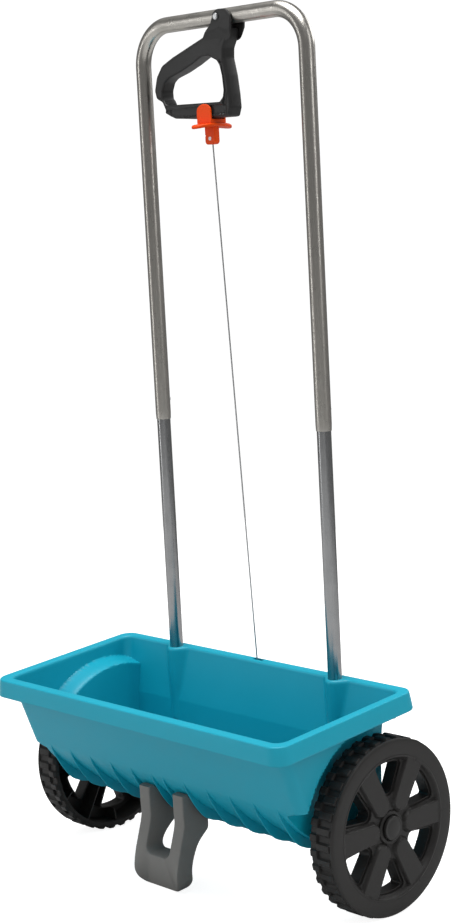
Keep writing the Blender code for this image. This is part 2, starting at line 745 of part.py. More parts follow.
def build_wheel(name, side):
    """A one-piece wheel: a tread band, a web with six ridged spokes and deep windows, and a hub."""
    wheel = turned(wheel_profile(), 48, axle_frame, name, "X", BLACK)
    inner, web = WHEEL_FACE - WHEEL_WIDTH, WHEEL_FACE - WEB_DROP
    for i in range(SPOKES):
        wall = prism(window_outline(i, WINDOW_WALL), WHEEL_FACE - WINDOW_DEPTH, web - 0.0015)
        combine(wheel, tool(f"{name}_window_wall_{i}", wall, axle_frame), "UNION")
    ridges = [prism(spoke_outline(i), web - 0.0012, WHEEL_FACE - 0.001) for i in range(SPOKES)]
    combine(wheel, tool(f"{name}_ridges", joined(*ridges), axle_frame), "UNION")
    windows = [prism(window_outline(i), 0.2, 0.3) for i in range(SPOKES)]
    combine(wheel, tool(f"{name}_windows", joined(*windows), axle_frame))
    tread = prism(tread_outline(), inner + 0.0004, WHEEL_FACE - SHOULDER_WIDTH + 0.0006)
    bars = tool(f"{name}_tread", tread, axle_frame)
    hollow = rod(WHEEL_SHOULDER_R - TREAD_DEPTH - 0.002, (0.2, 0, 0), (0.3, 0, 0), 48)
    combine(bars, tool(f"{name}_tread_hollow", hollow, axle_frame))
    combine(wheel, bars, "UNION")
    if side < 0:
        mirror_x(wheel)
    return wheel


def mirror_x(made):
    """Applies the piece's modifiers and reflects it to the other side."""
    mesh = solid_copy(made, made.name)
    made.modifiers.clear()
    mesh.transform(Matrix.Scale(-1, 4, (1, 0, 0)))
    bm = bmesh.new()
    bm.from_mesh(mesh)
    bmesh.ops.recalc_face_normals(bm, faces=bm.faces)
    bm.to_mesh(mesh)
    bm.free()
    made.data = mesh


def washer(name, low, high, outer, inner, sides, material):
    profile = [(inner, low), (inner, high), (outer, high), (outer, low), (inner, low)]
    return turned(profile, sides, axle_frame, name, "X", material)


def build_running_gear():
    build_wheel("wheel_right", 1)
    build_wheel("wheel_left", -1)
    end = AXLE_HALF + 0.0045
    piece("axle_shaft", rod(AXLE_R, (-end, 0, 0), (end, 0, 0), 32), axle_frame, STEEL)
    bore = AXLE_R + RUN
    cap_face = WHEEL_FACE + 0.0015
    pocket = WHEEL_FACE - 0.010
    for side, name in ((1, "right"), (-1, "left")):
        profile = [
            (0, cap_face),
            (HUB_CAP_R - 0.002, cap_face),
            (HUB_CAP_R, cap_face - 0.0015),
            (HUB_CAP_R, WHEEL_FACE - 0.0032),
            (HUB_CAP_R - 0.0018, WHEEL_FACE - 0.0032),
            (HUB_CAP_R - 0.0018, pocket + 0.0008),
            (HUB_CAP_R - 0.0033, pocket + 0.0008),
            (HUB_CAP_R - 0.0033, WHEEL_FACE - 0.0015),
            (0, WHEEL_FACE - 0.0015),
        ]
        flip = [(r, side * a) for r, a in profile]
        turned(flip, 24, axle_frame, f"hub_cap_{name}", "X", BLACK)
        low, high = sorted((side * (pocket + 0.0006), side * (pocket + 0.0018)))
        washer(f"lock_washer_{name}", low, high, 0.0095, bore + 0.0001, 20, STEEL)
        wall_in, wall_out = side * (ARCH_HALF - 0.009), side * (ARCH_HALF + GAP)
        flange = side * (ARCH_HALF + GAP + BUSH_FLANGE - 0.0003)
        profile = [(bore, wall_in), (BUSH_R, wall_in), (BUSH_R, wall_out)]
        profile += [(BUSH_FLANGE_R, wall_out), (BUSH_FLANGE_R, flange), (bore, flange), (bore, wall_in)]
        turned(profile, 24, axle_frame, f"axle_bush_{name}", "X", BUSH_WHITE)
    flange = ARCH_HALF + BUSH_FLANGE
    washer("thrust_washer_left", -flange - 0.0013, -flange - 0.0003, 0.011, bore + 0.0001, 24, STEEL)
    washer("thrust_washer_right", flange + 0.0003, flange + 0.0013, 0.011, bore + 0.0001, 24, STEEL)
    build_agitator()


def build_agitator():
    """A sleeve with four fins in short staggered stretches, keyed to the axle."""
    outline = []
    fins, root, tip = 4, 0.0085, AGITATOR_R
    for i in range(fins):
        t = 2 * pi * i / fins
        for da, radius in ((-0.115, root), (-0.06, tip), (0.06, tip), (0.115, root)):
            at = t + da * (root / radius) * 2
            outline.append((radius * cos(at), radius * sin(at)))
        outline.append((root * cos(t + pi / fins), root * sin(t + pi / fins)))
    agitator = piece("agitator", prism(outline, -AGITATOR_HALF, AGITATOR_HALF), axle_frame, NYLON)
    bore = rod(AXLE_R + 0.0002, (-0.3, 0, 0), (0.3, 0, 0), 32)
    combine(agitator, tool("agitator_bore", bore, axle_frame))
    gaps = []
    for i in range(7):
        x = (i - 3) * 0.055
        ring = [(0.0095, x - 0.006), (0.0095, x + 0.006), (0.03, x + 0.006), (0.03, x - 0.006)]
        ring.append(ring[0])
        gaps.append(turned(ring, 16, axle_frame, f"agitator_gap_{i}", "X", cutter=True))
    for gap in gaps:
        gap.hide_render = True
        gap.display_type = "WIRE"
        combine(agitator, gap)


# ---------------------------------------------------------------- lever, slider and wire


def head_outline():
    """Ears and neck round the pivot."""
    ears = [(-0.0108, -0.0061), (-0.0066, 0.0039), (-0.0057, 0.0050), (0.0006, 0.0084), (0.0092, 0.0084)]
    ears += [(0.0176, 0.0068), (0.0226, 0.0009), (0.0243, -0.0050), (0.0240, -0.0110), (0.0228, -0.0165)]
    return ears + [(0.0140, -0.0296), (-0.0280, -0.0280), (-0.0259, -0.0207), (-0.0156, -0.0114)]


def loop_outline():
    """Outside of the D-shaped loop, from the neck round by the grip."""
    grip = [(-0.0259, -0.0209), (-0.0598, -0.0322), (-0.0894, -0.0422), (-0.1096, -0.0508)]
    grip += [(-0.1206, -0.0641), (-0.1260, -0.0816), (-0.1231, -0.0922), (-0.1126, -0.0970)]
    foot = [(-0.1058, -0.1097), (-0.1098, -0.1103), (-0.0918, -0.1190), (0.0080, -0.1230), (0.0118, -0.1235)]
    right = [(0.0160, -0.1120), (0.0150, -0.0950), (0.0120, -0.0720), (0.0072, -0.0510), (0.0080, -0.0383)]
    return grip + foot + right + [(0.0147, -0.0285)]


def loop_hole():
    """Inside of the loop, where the fingers go."""
    hole = [(-0.0220, -0.0460), (-0.0346, -0.0463), (-0.0538, -0.0545), (-0.0759, -0.0623), (-0.0972, -0.0678)]
    hole += [(-0.1049, -0.0726), (-0.1099, -0.0832), (-0.1094, -0.0929), (-0.1037, -0.1015)]
    hole += [(-0.0058, -0.1036), (0.0007, -0.0980), (0.0025, -0.0900), (0.0009, -0.0725)]
    return hole + [(-0.0024, -0.0594), (-0.0070, -0.0530)]


def build_lever():
    lever = piece("control_lever", prism(loop_outline(), -LEVER_HALF, LEVER_HALF, "Y"), lever_axis, LEVER_BLACK)
    head = tool("lever_head", prism(head_outline(), -HEAD_HALF, HEAD_HALF, "Y"), lever_axis)
    combine(lever, head, "UNION")
    combine(lever, tool("lever_hole", prism(loop_hole(), -0.05, 0.05, "Y"), lever_axis))
    clear = BOW_R + 0.0005
    slope = tan(radians(LEVER_SWING + 1.0))
    channel = [(-0.080, -clear - 0.080 * slope), (0.0, -clear - 0.0004), (0.060, -clear)]
    channel += [(0.060, 0.03), (-0.080, 0.03)]
    combine(lever, tool("lever_channel", prism(channel, -clear, clear, "Y"), lever_axis))
    hollow = box((0.002, -0.0085, -0.0170), (0.060, 0.0085, 0.0))
    combine(lever, tool("lever_hollow", hollow, lever_axis))
    pin_bore = rod(PIN_R + 0.00015, (0, -0.02, 0), (0, 0.02, 0), 16)
    combine(lever, tool("lever_pin_bore", pin_bore, lever_axis))

    profile = [(0, -0.0158), (0.0030, -0.0158), (0.0042, -0.0150), (0.0042, -HEAD_HALF - GAP)]
    profile += [(PIN_R, -HEAD_HALF - GAP), (PIN_R, 0.0185), (0, 0.0185)]
    profile = [(r, -a) for r, a in profile]
    pin = turned(profile, 16, lever_axis, "lever_pivot_pin", "Z", STEEL)
    pin.rotation_euler = (pi / 2, 0, 0)
    profile = [(PIN_R + 0.0002, HEAD_HALF + GAP), (0.0055, HEAD_HALF + GAP), (0.0055, 0.0150)]
    profile += [(PIN_R + 0.0002, 0.0150), (PIN_R + 0.0002, HEAD_HALF + GAP)]
    profile = [(r, -a) for r, a in profile]
    clip = turned(profile, 16, lever_axis, "pivot_lock_washer", "Z", STEEL)
    clip.rotation_euler = (pi / 2, 0, 0)


def build_dose_slider():
    """A saddle clipped round the loop's lower bar, with an oval finger flange and a tab for the wire."""
    bar_low = -0.1226
    plate_half, out = 0.0130, 0.0132
    top, low = -0.1045, -0.1285
    outline = [(-plate_half, low), (-plate_half, top), (plate_half, top), (plate_half, low)]
    outline = rounded(outline, (0, 0.009, 0.009, 0))
    slider = piece("dose_slider", prism(outline, -out, out, "Y"), dose_frame, ORANGE)
    inside = box((-0.03, -LEVER_HALF - 0.0004, bar_low - 0.0012), (0.03, LEVER_HALF + 0.0004, 0.0))
    combine(slider, tool("slider_inside", inside, dose_frame))
    oval = [(0.0155 * cos(2 * pi * i / 24), 0.032 * sin(2 * pi * i / 24)) for i in range(24)]
    flange = prism(oval, -0.1335, -0.1285, "Z")
    combine(slider, tool("slider_flange", flange, dose_frame), "UNION")
    tab = [(-0.0092, -0.130), (-0.0092, -0.1550), (0.0092, -0.1550), (0.0092, -0.130)]
    tab = rounded(tab, (0, 0.003, 0.003, 0))
    combine(slider, tool("slider_tab", prism(tab, -0.0045, 0.0045, "Y"), dose_frame), "UNION")
    bore = rod(NIPPLE_R + 0.0002, (0, -0.02, 0), (0, 0.02, 0), 16)
    combine(slider, tool("nipple_bore", bore, nipple_axis))
    slot = [(-0.0017, 0.0), (-0.0053, -0.012), (0.0053, -0.012), (0.0017, 0.0)]
    combine(slider, tool("wire_slot", prism(slot, -0.0016, 0.0026, "Y"), nipple_axis))

    piece("wire_nipple", rod(NIPPLE_R, (0, -0.0045, 0), (0, 0.0045, 0), 16), nipple_axis, STEEL)


def build_wire():
    """The stiff wire from the nipple down through the rim to its ball end behind the back wall."""
    to_hopper = hopper_frame_from(nipple_axis)
    start = to_hopper @ Vector((0, 0, 0))
    passing = Vector((WIRE_X, WIRE_Y, 0))
    way = (passing - start).normalized()
    end = passing + way * (BALL_DROP / -way.z)
    top = start + way * 0.0002
    wire = swept("pull_wire", [top, top.lerp(end, 0.5), end], WIRE_R, hopper_frame, STEEL, 2)
    ball = bmesh.new()
    bmesh.ops.create_uvsphere(ball, u_segments=12, v_segments=8, radius=BALL_R)
    bmesh.ops.translate(ball, vec=end, verts=ball.verts)
    combine(wire, tool("wire_ball", ball, hopper_frame), "UNION")
    slot = [(-0.0014, 0.0006), (-0.0024, -0.0030), (0.0024, -0.0030), (0.0014, 0.0006)]
    nipple = bpy.data.objects["wire_nipple"]
    combine(nipple, tool("nipple_slot", prism(slot, -0.0014, 0.0016, "Y"), nipple_axis))


def hopper_frame_from(empty):
    """The transform from an empty's own space to hopper_frame's."""
    bpy.context.view_layer.update()
    return hopper_frame.matrix_world.inverted() @ empty.matrix_world


# ---------------------------------------------------------------- linkage and shutter


def build_link():
    """A forked steel link: two prongs catch the wire's ball, and a pin drives the crank."""
    prong_in, prong_out, lip = 0.0052, 0.0080, 0.0031
    top = -BALL_DROP + 0.0018 + BALL_LASH + 0.0025
    low = -BALL_DROP - BALL_R - 0.0065
    fork = [(-prong_out, low), (-prong_out, top), (-lip, top), (-lip, top - 0.0025)]
    fork += [(-prong_in, top - 0.0025), (-prong_in, low + 0.003), (prong_in, low + 0.003)]
    fork += [(prong_in, top - 0.0025), (lip, top - 0.0025), (lip, top), (prong_out, top)]
    fork += [(prong_out, low)]
    link = piece("pull_link", prism(fork, LINK_Y - 0.001, LINK_Y + 0.001, "Y"), hopper_frame, STEEL)
    stem = rod(LINK_R, (0, LINK_Y, low + 0.001), (0, LINK_Y, -LINK_PIN_DROP - 0.003), 16)
    combine(link, tool("link_stem", stem, hopper_frame), "UNION")
    pin = rod(CRANK_PIN_R, (0, LINK_Y, -LINK_PIN_DROP), (0, LINK_Y - 0.0125, -LINK_PIN_DROP), 12)
    combine(link, tool("link_pin", pin, hopper_frame), "UNION")
    collar = rod(0.0052, (0, LINK_Y, -0.1285), (0, LINK_Y, -0.1265), 16)
    combine(link, tool("link_collar", collar, hopper_frame), "UNION")

    guide_low = (-0.009, 0.0960, -GUIDE_DROP - 0.006)
    guide = piece("link_guide", box(guide_low, (0.027, 0.1185, -GUIDE_DROP + 0.006)), hopper_frame, NYLON)
    bore = rod(LINK_R + 0.0004, (0, LINK_Y, -0.12), (0, LINK_Y, -0.05), 16)
    combine(guide, tool("guide_bore", bore, hopper_frame))
    relief = box((0.009, 0.1045, -0.12), (0.05, 0.13, -0.05))
    combine(guide, tool("guide_relief", relief, hopper_frame))
    hole = rod(0.0021, (0.019, 0.08, -GUIDE_DROP), (0.019, 0.13, -GUIDE_DROP), 12)
    combine(guide, tool("guide_hole", hole, hopper_frame))
    head = rod(0.0034, (0.019, 0.1048, -GUIDE_DROP), (0.019, 0.1070, -GUIDE_DROP), 12)
    screw = piece("guide_screw", head, hopper_frame, STEEL)
    shank = rod(0.0015, (0.019, 0.0915, -GUIDE_DROP), (0.019, 0.106, -GUIDE_DROP), 12)
    combine(screw, tool("guide_shank", shank, hopper_frame), "UNION")

    turns, steps, coil_r = 5, 9, 0.0040
    top_z, low_z = -GUIDE_DROP - 0.006 - GAP - 0.0006, -0.1265 + GAP + 0.0006
    coil = []
    for i in range(turns * steps + 1):
        t = 2 * pi * i / steps
        z = top_z + (low_z - top_z) * i / (turns * steps)
        coil.append((coil_r * cos(t), LINK_Y + coil_r * sin(t), z))
    swept("return_spring", coil, 0.0005, hopper_frame, STEEL, 1)


def build_crank():
    """A flat bell crank: the long arm takes the link's pin, the leg pushes the shutter."""
    tilt = asin(LINK_TRAVEL / 2 / hypot(CRANK_ARM, LINK_TRAVEL / 2))
    low, high = -0.0090, -0.0060
    arm_w, slot_w = 0.0055, CRANK_PIN_R + 0.0004
    reach = CRANK_ARM + 0.006
    outline = [(0.004, 0.0068), (reach, arm_w), (reach, -arm_w), (0.007, -0.0062)]
    outline += [(0.0055, -CRANK_LEG - 0.0055), (-0.0055, -CRANK_LEG - 0.0055)]
    outline += [(-0.0068, 0.004), (-0.004, 0.0068)]
    outline = rounded(outline, (0, 0.004, 0.004, 0.004, 0.002, 0.002, 0.003, 0.003), 3)

    def turned_by(points, angle):
        return [(x * cos(angle) + z * sin(angle), -x * sin(angle) + z * cos(angle)) for x, z in points]

    crank = piece("bell_crank", prism(turned_by(outline, tilt), low, high, "Y"), crank_axis, NYLON)
    slot_start, slot_end, leg_top = CRANK_ARM - 0.0035, CRANK_ARM + 0.0035, -CRANK_LEG + 0.0035
    arm_slot = [(slot_start, -slot_w), (slot_end, -slot_w), (slot_end, slot_w), (slot_start, slot_w)]
    leg_slot = [(-0.0024, -CRANK_LEG - 0.01), (0.0024, -CRANK_LEG - 0.01)]
    leg_slot += [(0.0024, leg_top), (-0.0024, leg_top)]
    for name, slot in (("crank_arm_slot", arm_slot), ("crank_leg_slot", leg_slot)):
        combine(crank, tool(name, prism(turned_by(slot, tilt), -0.02, 0.02, "Y"), crank_axis))
    bore = rod(0.0026, (0, -0.02, 0), (0, 0.02, 0), 16)
    combine(crank, tool("crank_bore", bore, crank_axis))
    head = rod(0.0055, (0, -0.0057, 0), (0, -0.0032, 0), 16)
    screw = piece("crank_pivot_screw", head, crank_axis, STEEL)
    shank = rod(0.0025, (0, -0.021, 0), (0, -0.004, 0), 16)
    combine(screw, tool("crank_shank", shank, crank_axis), "UNION")
    return tilt


def build_shutter(tilt):
    """The slotted plate under the outlets, with the peg that the crank pushes."""
    top = -HOPPER_DROP - 0.0004
    low = top - SHUTTER_THICK
    plate = box((-SHUTTER_HALF, SHUTTER_FRONT, low), (SHUTTER_HALF - 0.008, SHUTTER_BACK, top))
    shutter = piece("shutter_plate", plate, hopper_frame, NYLON)
    peg_x = -CRANK_ARM - CRANK_LEG * sin(tilt)
    peg_z = -LINK_PIN_DROP + LINK_TRAVEL / 2 - CRANK_LEG * cos(tilt)
    tongue = box((peg_x - 0.007, SHUTTER_BACK - 0.004, low), (peg_x + 0.007, 0.0985, low + SHUTTER_THICK))
    combine(shutter, tool("shutter_tongue", tongue, hopper_frame), "UNION")
    wall = box((peg_x - 0.007, 0.0955, low), (peg_x + 0.007, 0.0985, peg_z + 0.004))
    combine(shutter, tool("shutter_wall", wall, hopper_frame), "UNION")
    peg = rod(0.0020, (peg_x, 0.097, peg_z), (peg_x, 0.1085, peg_z), 12)
    combine(shutter, tool("shutter_peg", peg, hopper_frame), "UNION")
    travel = 2 * CRANK_LEG * sin(tilt)
    combine(shutter, tool("shutter_slots", outlet_tools(-travel, low - 0.01, top + 0.01), hopper_frame))

    lip = low - GAP
    high = -HOPPER_DROP - GAP
    deep = -HOPPER_DROP - RAIL_DEPTH
    front = SHUTTER_FRONT - 0.0004
    section = [(front - 0.003, deep), (front, deep), (front, lip - 0.0025), (front + 0.010, lip - 0.0025)]
    section += [(front + 0.010, lip), (front, lip), (front, high), (front - 0.003, high)]
    piece("guide_rail_front_left", prism(section, -0.215, RAIL_GAP[0]), hopper_frame, TEAL_DARK)
    piece("guide_rail_front_right", prism(section, RAIL_GAP[1], 0.215), hopper_frame, TEAL_DARK)
    back = SHUTTER_BACK + 0.0004
    section = [(back + 0.003, deep), (back, deep), (back, lip - 0.0025), (back - 0.010, lip - 0.0025)]
    section += [(back - 0.010, lip), (back, lip), (back, high), (back + 0.003, high)]
    for name, low_x, high_x in (("left", -0.215, peg_x - 0.018), ("right", peg_x + 0.024, 0.215)):
        piece(f"guide_rail_rear_{name}", prism(section[::-1], low_x, high_x), hopper_frame, TEAL_DARK)


build_hopper()
build_foot()
build_tubes()
build_running_gear()
build_lever()
build_dose_slider()
build_wire()
build_link()
build_shutter(build_crank())
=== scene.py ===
"""Finished look of a drop spreader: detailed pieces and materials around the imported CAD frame.

Metres, +Z up, -Y is the front. Pieces are worked out in three frames, as arrays of points:
  hopper frame  origin at the centre of the rim's top face, Z square to the rim
  axle frame    the same directions, origin on the wheel axis
  handle frame  origin in the rim plane between the tubes, Z along the tubes
"""

from math import atan2, cos, hypot, pi, radians, sin, sqrt

import bmesh
import bpy
import numpy as np
from mathutils import Matrix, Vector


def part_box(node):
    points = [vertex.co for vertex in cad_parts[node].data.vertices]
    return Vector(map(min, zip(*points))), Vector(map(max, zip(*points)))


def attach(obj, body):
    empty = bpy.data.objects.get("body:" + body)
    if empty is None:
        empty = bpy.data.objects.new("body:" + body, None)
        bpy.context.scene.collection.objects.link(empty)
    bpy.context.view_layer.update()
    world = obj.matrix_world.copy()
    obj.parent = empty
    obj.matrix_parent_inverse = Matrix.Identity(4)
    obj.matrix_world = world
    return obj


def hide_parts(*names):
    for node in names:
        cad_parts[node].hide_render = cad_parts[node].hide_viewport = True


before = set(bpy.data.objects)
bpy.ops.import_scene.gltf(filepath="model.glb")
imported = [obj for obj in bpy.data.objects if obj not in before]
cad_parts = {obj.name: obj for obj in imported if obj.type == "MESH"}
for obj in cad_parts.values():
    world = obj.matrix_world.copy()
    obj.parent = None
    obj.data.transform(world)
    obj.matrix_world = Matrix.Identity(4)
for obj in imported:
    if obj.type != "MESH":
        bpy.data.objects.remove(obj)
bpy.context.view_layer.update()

# ---------------------------------------------------------------- sizes shared with the frame

AXLE_BACK, AXLE_DROP, WHEEL_R = 0.0483, 0.1515, 0.1095
SOLE_Y, SOLE_DROP = -0.0825, 0.2437
RIM_X, RIM_Y, RIM_CORNER = 0.265, 0.119, 0.018
SKIRT_DROP, SKIRT_FLARE = 0.0228, 0.003
WALL = 0.0025
HOPPER_DROP, FRONT_KINK, BACK_KINK = 0.1735, 0.095, 0.073
FRONT_TOP, FRONT_SLOPE, BACK_TOP, BACK_SLOPE, BACK_LOW = 0.107, 0.281, 0.109, 0.223, 0.083
END_HALF, END_DRAFT, WALL_CORNER = 0.2535, 0.02, 0.014
ARCH_R, ARCH_HALF, ARCH_DROP = 0.1235, 0.2245, 0.102
SOCKET_R, SOCKET_END, SOCKET_LEAN = 0.0125, 0.0985, 0.0697
OUTLETS, OUTLET_PITCH, OUTLET_Y = 16, 0.025, (0.0423, 0.0543)
FLOOR_TOP, FLOOR_LOW = -0.1710, -0.17345
RIB_PLACES = (0.0103, 0.0496, 0.0900, 0.1304, 0.1708, 0.2112)
TUBE_SPREAD, TUBE_SEAT, TUBE_LEAN = 0.147, 0.1037, radians(3.99)
BOW_R, LOWER_R, JOINT_UP, BAR_UP, BEND_R = 0.0101, 0.0090, 0.312, 0.823, 0.050

reach = hypot(AXLE_BACK - SOLE_Y, SOLE_DROP - AXLE_DROP)
LEAN = atan2(AXLE_BACK - SOLE_Y, SOLE_DROP - AXLE_DROP) - atan2(sqrt(reach**2 - WHEEL_R**2), WHEEL_R)
axle_low, axle_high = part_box("axle_shaft")
AXLE = np.array([0.0, (axle_low.y + axle_high.y) / 2, (axle_low.z + axle_high.z) / 2])

# ---------------------------------------------------------------- frames as array maths


def turned_x(points, angle):
    """Points turned about the X axis: y and z mix by the angle's sine and cosine."""
    c, s = cos(angle), sin(angle)
    turn = np.array([[1, 0, 0], [0, c, -s], [0, s, c]])
    return np.asarray(points, float) @ turn.T


def from_axle(points):
    return turned_x(points, LEAN) + AXLE


def from_hopper(points):
    return from_axle(np.asarray(points, float) - (0, AXLE_BACK, -AXLE_DROP))


def from_handle(points):
    return from_hopper(turned_x(points, -TUBE_LEAN) + (0, TUBE_SEAT, 0))


def step(low, high, value):
    """Smooth step: 0 below low, 1 above high, and 3t^2 - 2t^3 between."""
    t = np.clip((value - low) / (high - low), 0, 1)
    return t * t * (3 - 2 * t)


def between(low, full, still, high, value):
    """A band of smooth steps: up from low to full, and down again from still to high."""
    return step(low, full, value) * (1 - step(still, high, value))


def pair(x, y):
    """Two fields side by side, as points of a plane."""
    return np.stack([x, y], -1)


def normals_of(line):
    """Unit directions square to a closed line of a plane, on its right-hand side."""
    way = np.roll(line, -1, 0) - np.roll(line, 1, 0)
    way /= np.maximum(np.linalg.norm(way, axis=1), 1e-9)[:, None]
    return pair(way[:, 1], -way[:, 0])


def eased(line, weight):
    """A closed line with each point drawn towards its neighbours."""
    return (np.roll(line, 1, 0) + weight * line + np.roll(line, -1, 0)) / (weight + 2)


def soft_min(a, b, width):
    """The smaller of two fields, rounded over where they are within width of each other."""
    t = np.clip(0.5 + 0.5 * (b - a) / width, 0, 1)
    return b * (1 - t) + a * t - width * t * (1 - t)


# ---------------------------------------------------------------- meshes from grids


def quads_of(index):
    """The quads of a grid of point numbers."""
    return np.stack([index[:-1, :-1], index[1:, :-1], index[1:, 1:], index[:-1, 1:]], -1)


def in_scene(name, data):
    """A new object with this data, linked into the scene."""
    made = bpy.data.objects.new(name, data)
    bpy.context.scene.collection.objects.link(made)
    return made


class Shell:
    """Collects grids of points into one mesh."""

    def __init__(self, place=from_hopper):
        self.place, self.points, self.faces, self.count = place, [], [], 0

    def add(self, points, faces):
        """Adds points, with quads whose numbers count from the first of them."""
        self.points.append(points.reshape(-1, 3))
        self.faces.append(faces.reshape(-1, 4) + self.count)
        self.count += len(self.points[-1])
        return self

    def grid(self, points, round_u=False, round_v=False):
        """Adds a grid of shape (u, v, 3) as quads; a round direction closes on itself."""
        points = np.asarray(points, float)
        nu, nv = points.shape[:2]
        index = np.arange(nu * nv).reshape(nu, nv)
        if round_u:
            index = np.concatenate([index, index[:1]], axis=0)
        if round_v:
            index = np.concatenate([index, index[:, :1]], axis=1)
        return self.add(points, quads_of(index))

    def lathe(self, profile, sides):
        """Adds a profile of (radius, x) turned round the X axis: y = r cos t, z = r sin t."""
        profile = np.asarray(profile, float)
        turn = np.arange(sides) * 2 * pi / sides
        r, x = profile[:, 0][:, None], profile[:, 1][:, None]
        ring = np.stack([x + 0 * turn, r * np.cos(turn), r * np.sin(turn)], -1)
        return self.grid(ring, round_v=True)

    def piece(self, name, body, slot, material, replaces=(), mirror=False, merge=2e-5, sharp=34):
        """Makes the object: doubles merged, faces turned outwards, smooth but for real edges."""
        points = np.concatenate(self.points)
        faces = np.concatenate(self.faces)
        if mirror:
            points = points * (-1, 1, 1)
        points = self.place(points)
        mesh = bpy.data.meshes.new(name)
        mesh.from_pydata(points.tolist(), [], faces.tolist())
        bm = bmesh.new()
        bm.from_mesh(mesh)
        bmesh.ops.remove_doubles(bm, verts=bm.verts, dist=merge)
        bmesh.ops.dissolve_degenerate(bm, edges=bm.edges, dist=1e-6)
        bmesh.ops.recalc_face_normals(bm, faces=bm.faces)
        bm.to_mesh(mesh)
        bm.free()
        mesh.shade_smooth()
        mesh.set_sharp_from_angle(angle=radians(sharp))
        mesh.materials.append(material)
        made = in_scene(name, mesh)
        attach(made, body)
        if replaces:
            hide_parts(*replaces)


def smooth_line(points, count, closed=False):
    """A Catmull-Rom curve through the points, sampled evenly by index."""
    p = np.asarray(points, float)
    n = len(p)
    t = np.linspace(0, n if closed else n - 1, count, endpoint=not closed)
    i = np.minimum(t.astype(int), n - 1 if closed else n - 2)
    f = (t - i)[:, None]

    def at(k):
        return p[k % n] if closed else p[np.clip(k, 0, n - 1)]

    a, b, c, d = at(i - 1), at(i), at(i + 1), at(i + 2)
    return 0.5 * (2 * b + (c - a) * f + (2 * a - 5 * b + 4 * c - d) * f**2 + (3 * b - a - 3 * c + d) * f**3)


def even_line(points, count, closed=False):
    """The line resampled so that its points lie evenly along its length."""
    p = np.asarray(points, float)
    if closed:
        p = np.concatenate([p, p[:1]])
    run = np.concatenate([[0], np.cumsum(np.linalg.norm(np.diff(p, axis=0), axis=1))])
    at = np.linspace(0, run[-1], count, endpoint=not closed)
    return np.stack([np.interp(at, run, p[:, k]) for k in range(p.shape[1])], -1)


def tube_along(path, radius, sides=40):
    """Circles of the given radii carried along a path, square to its direction."""
    path = np.asarray(path, float)
    way = np.gradient(path, axis=0)
    way /= np.linalg.norm(way, axis=1)[:, None]
    side = np.cross(way, np.tile([0.0, 1.0, 0.0], (len(path), 1)))
    side /= np.linalg.norm(side, axis=1)[:, None]
    other = np.cross(way, side)
    turn = np.arange(sides) * 2 * pi / sides
    radius = np.broadcast_to(np.asarray(radius, float), (len(path),))[:, None, None]
    ring = side[:, None] * np.cos(turn)[None, :, None] + other[:, None] * np.sin(turn)[None, :, None]
    return path[:, None] + ring * radius


# ---------------------------------------------------------------- materials


def new_group(name, values):
    """A shader node group with an input for each value, and its entry and exit nodes."""
    group = bpy.data.node_groups.new(name, "ShaderNodeTree")
    for label, value in values.items():
        kind = "NodeSocketColor" if isinstance(value, tuple) else "NodeSocketFloat"
        socket = group.interface.new_socket(label, in_out="INPUT", socket_type=kind)
        socket.default_value = value
    for label, kind in (("Colour", "Color"), ("Roughness", "Float"), ("Height", "Float")):
        group.interface.new_socket(label, in_out="OUTPUT", socket_type=f"NodeSocket{kind}")
    return group, group.nodes.new("NodeGroupInput"), group.nodes.new("NodeGroupOutput")


def join_up(tree, node, values):
    """Links values to a node's inputs of the same names."""
    for label, value in values.items():
        tree.links.new(value, node.inputs[label])


def noise(group, vector, scale, detail, roughness=0.55):
    node = group.nodes.new("ShaderNodeTexNoise")
    node.inputs["Scale"].default_value = scale
    node.inputs["Detail"].default_value = detail
    node.inputs["Roughness"].default_value = roughness
    group.links.new(vector, node.inputs["Vector"])
    return node.outputs["Fac"]


def spread(group, value, low, high, to_low, to_high):
    """A value's range mapped to another, held at its ends."""
    node = group.nodes.new("ShaderNodeMapRange")
    for key, number in zip(("From Min", "From Max", "To Min", "To Max"), (low, high, to_low, to_high)):
        node.inputs[key].default_value = number
    group.links.new(value, node.inputs["Value"])
    return node.outputs["Result"]


def sums(group, operation, a, b):
    node = group.nodes.new("ShaderNodeMath")
    node.operation = operation
    for socket, value in zip(node.inputs, (a, b)):
        if isinstance(value, (int, float)):
            socket.default_value = value
        else:
            group.links.new(value, socket)
    return node.outputs[0]


def blend_colour(group, factor, a, b):
    node = group.nodes.new("ShaderNodeMix")
    node.data_type = "RGBA"
    for socket, value in ((0, factor), (6, a), (7, b)):
        group.links.new(value, node.inputs[socket])
    return node.outputs[2]


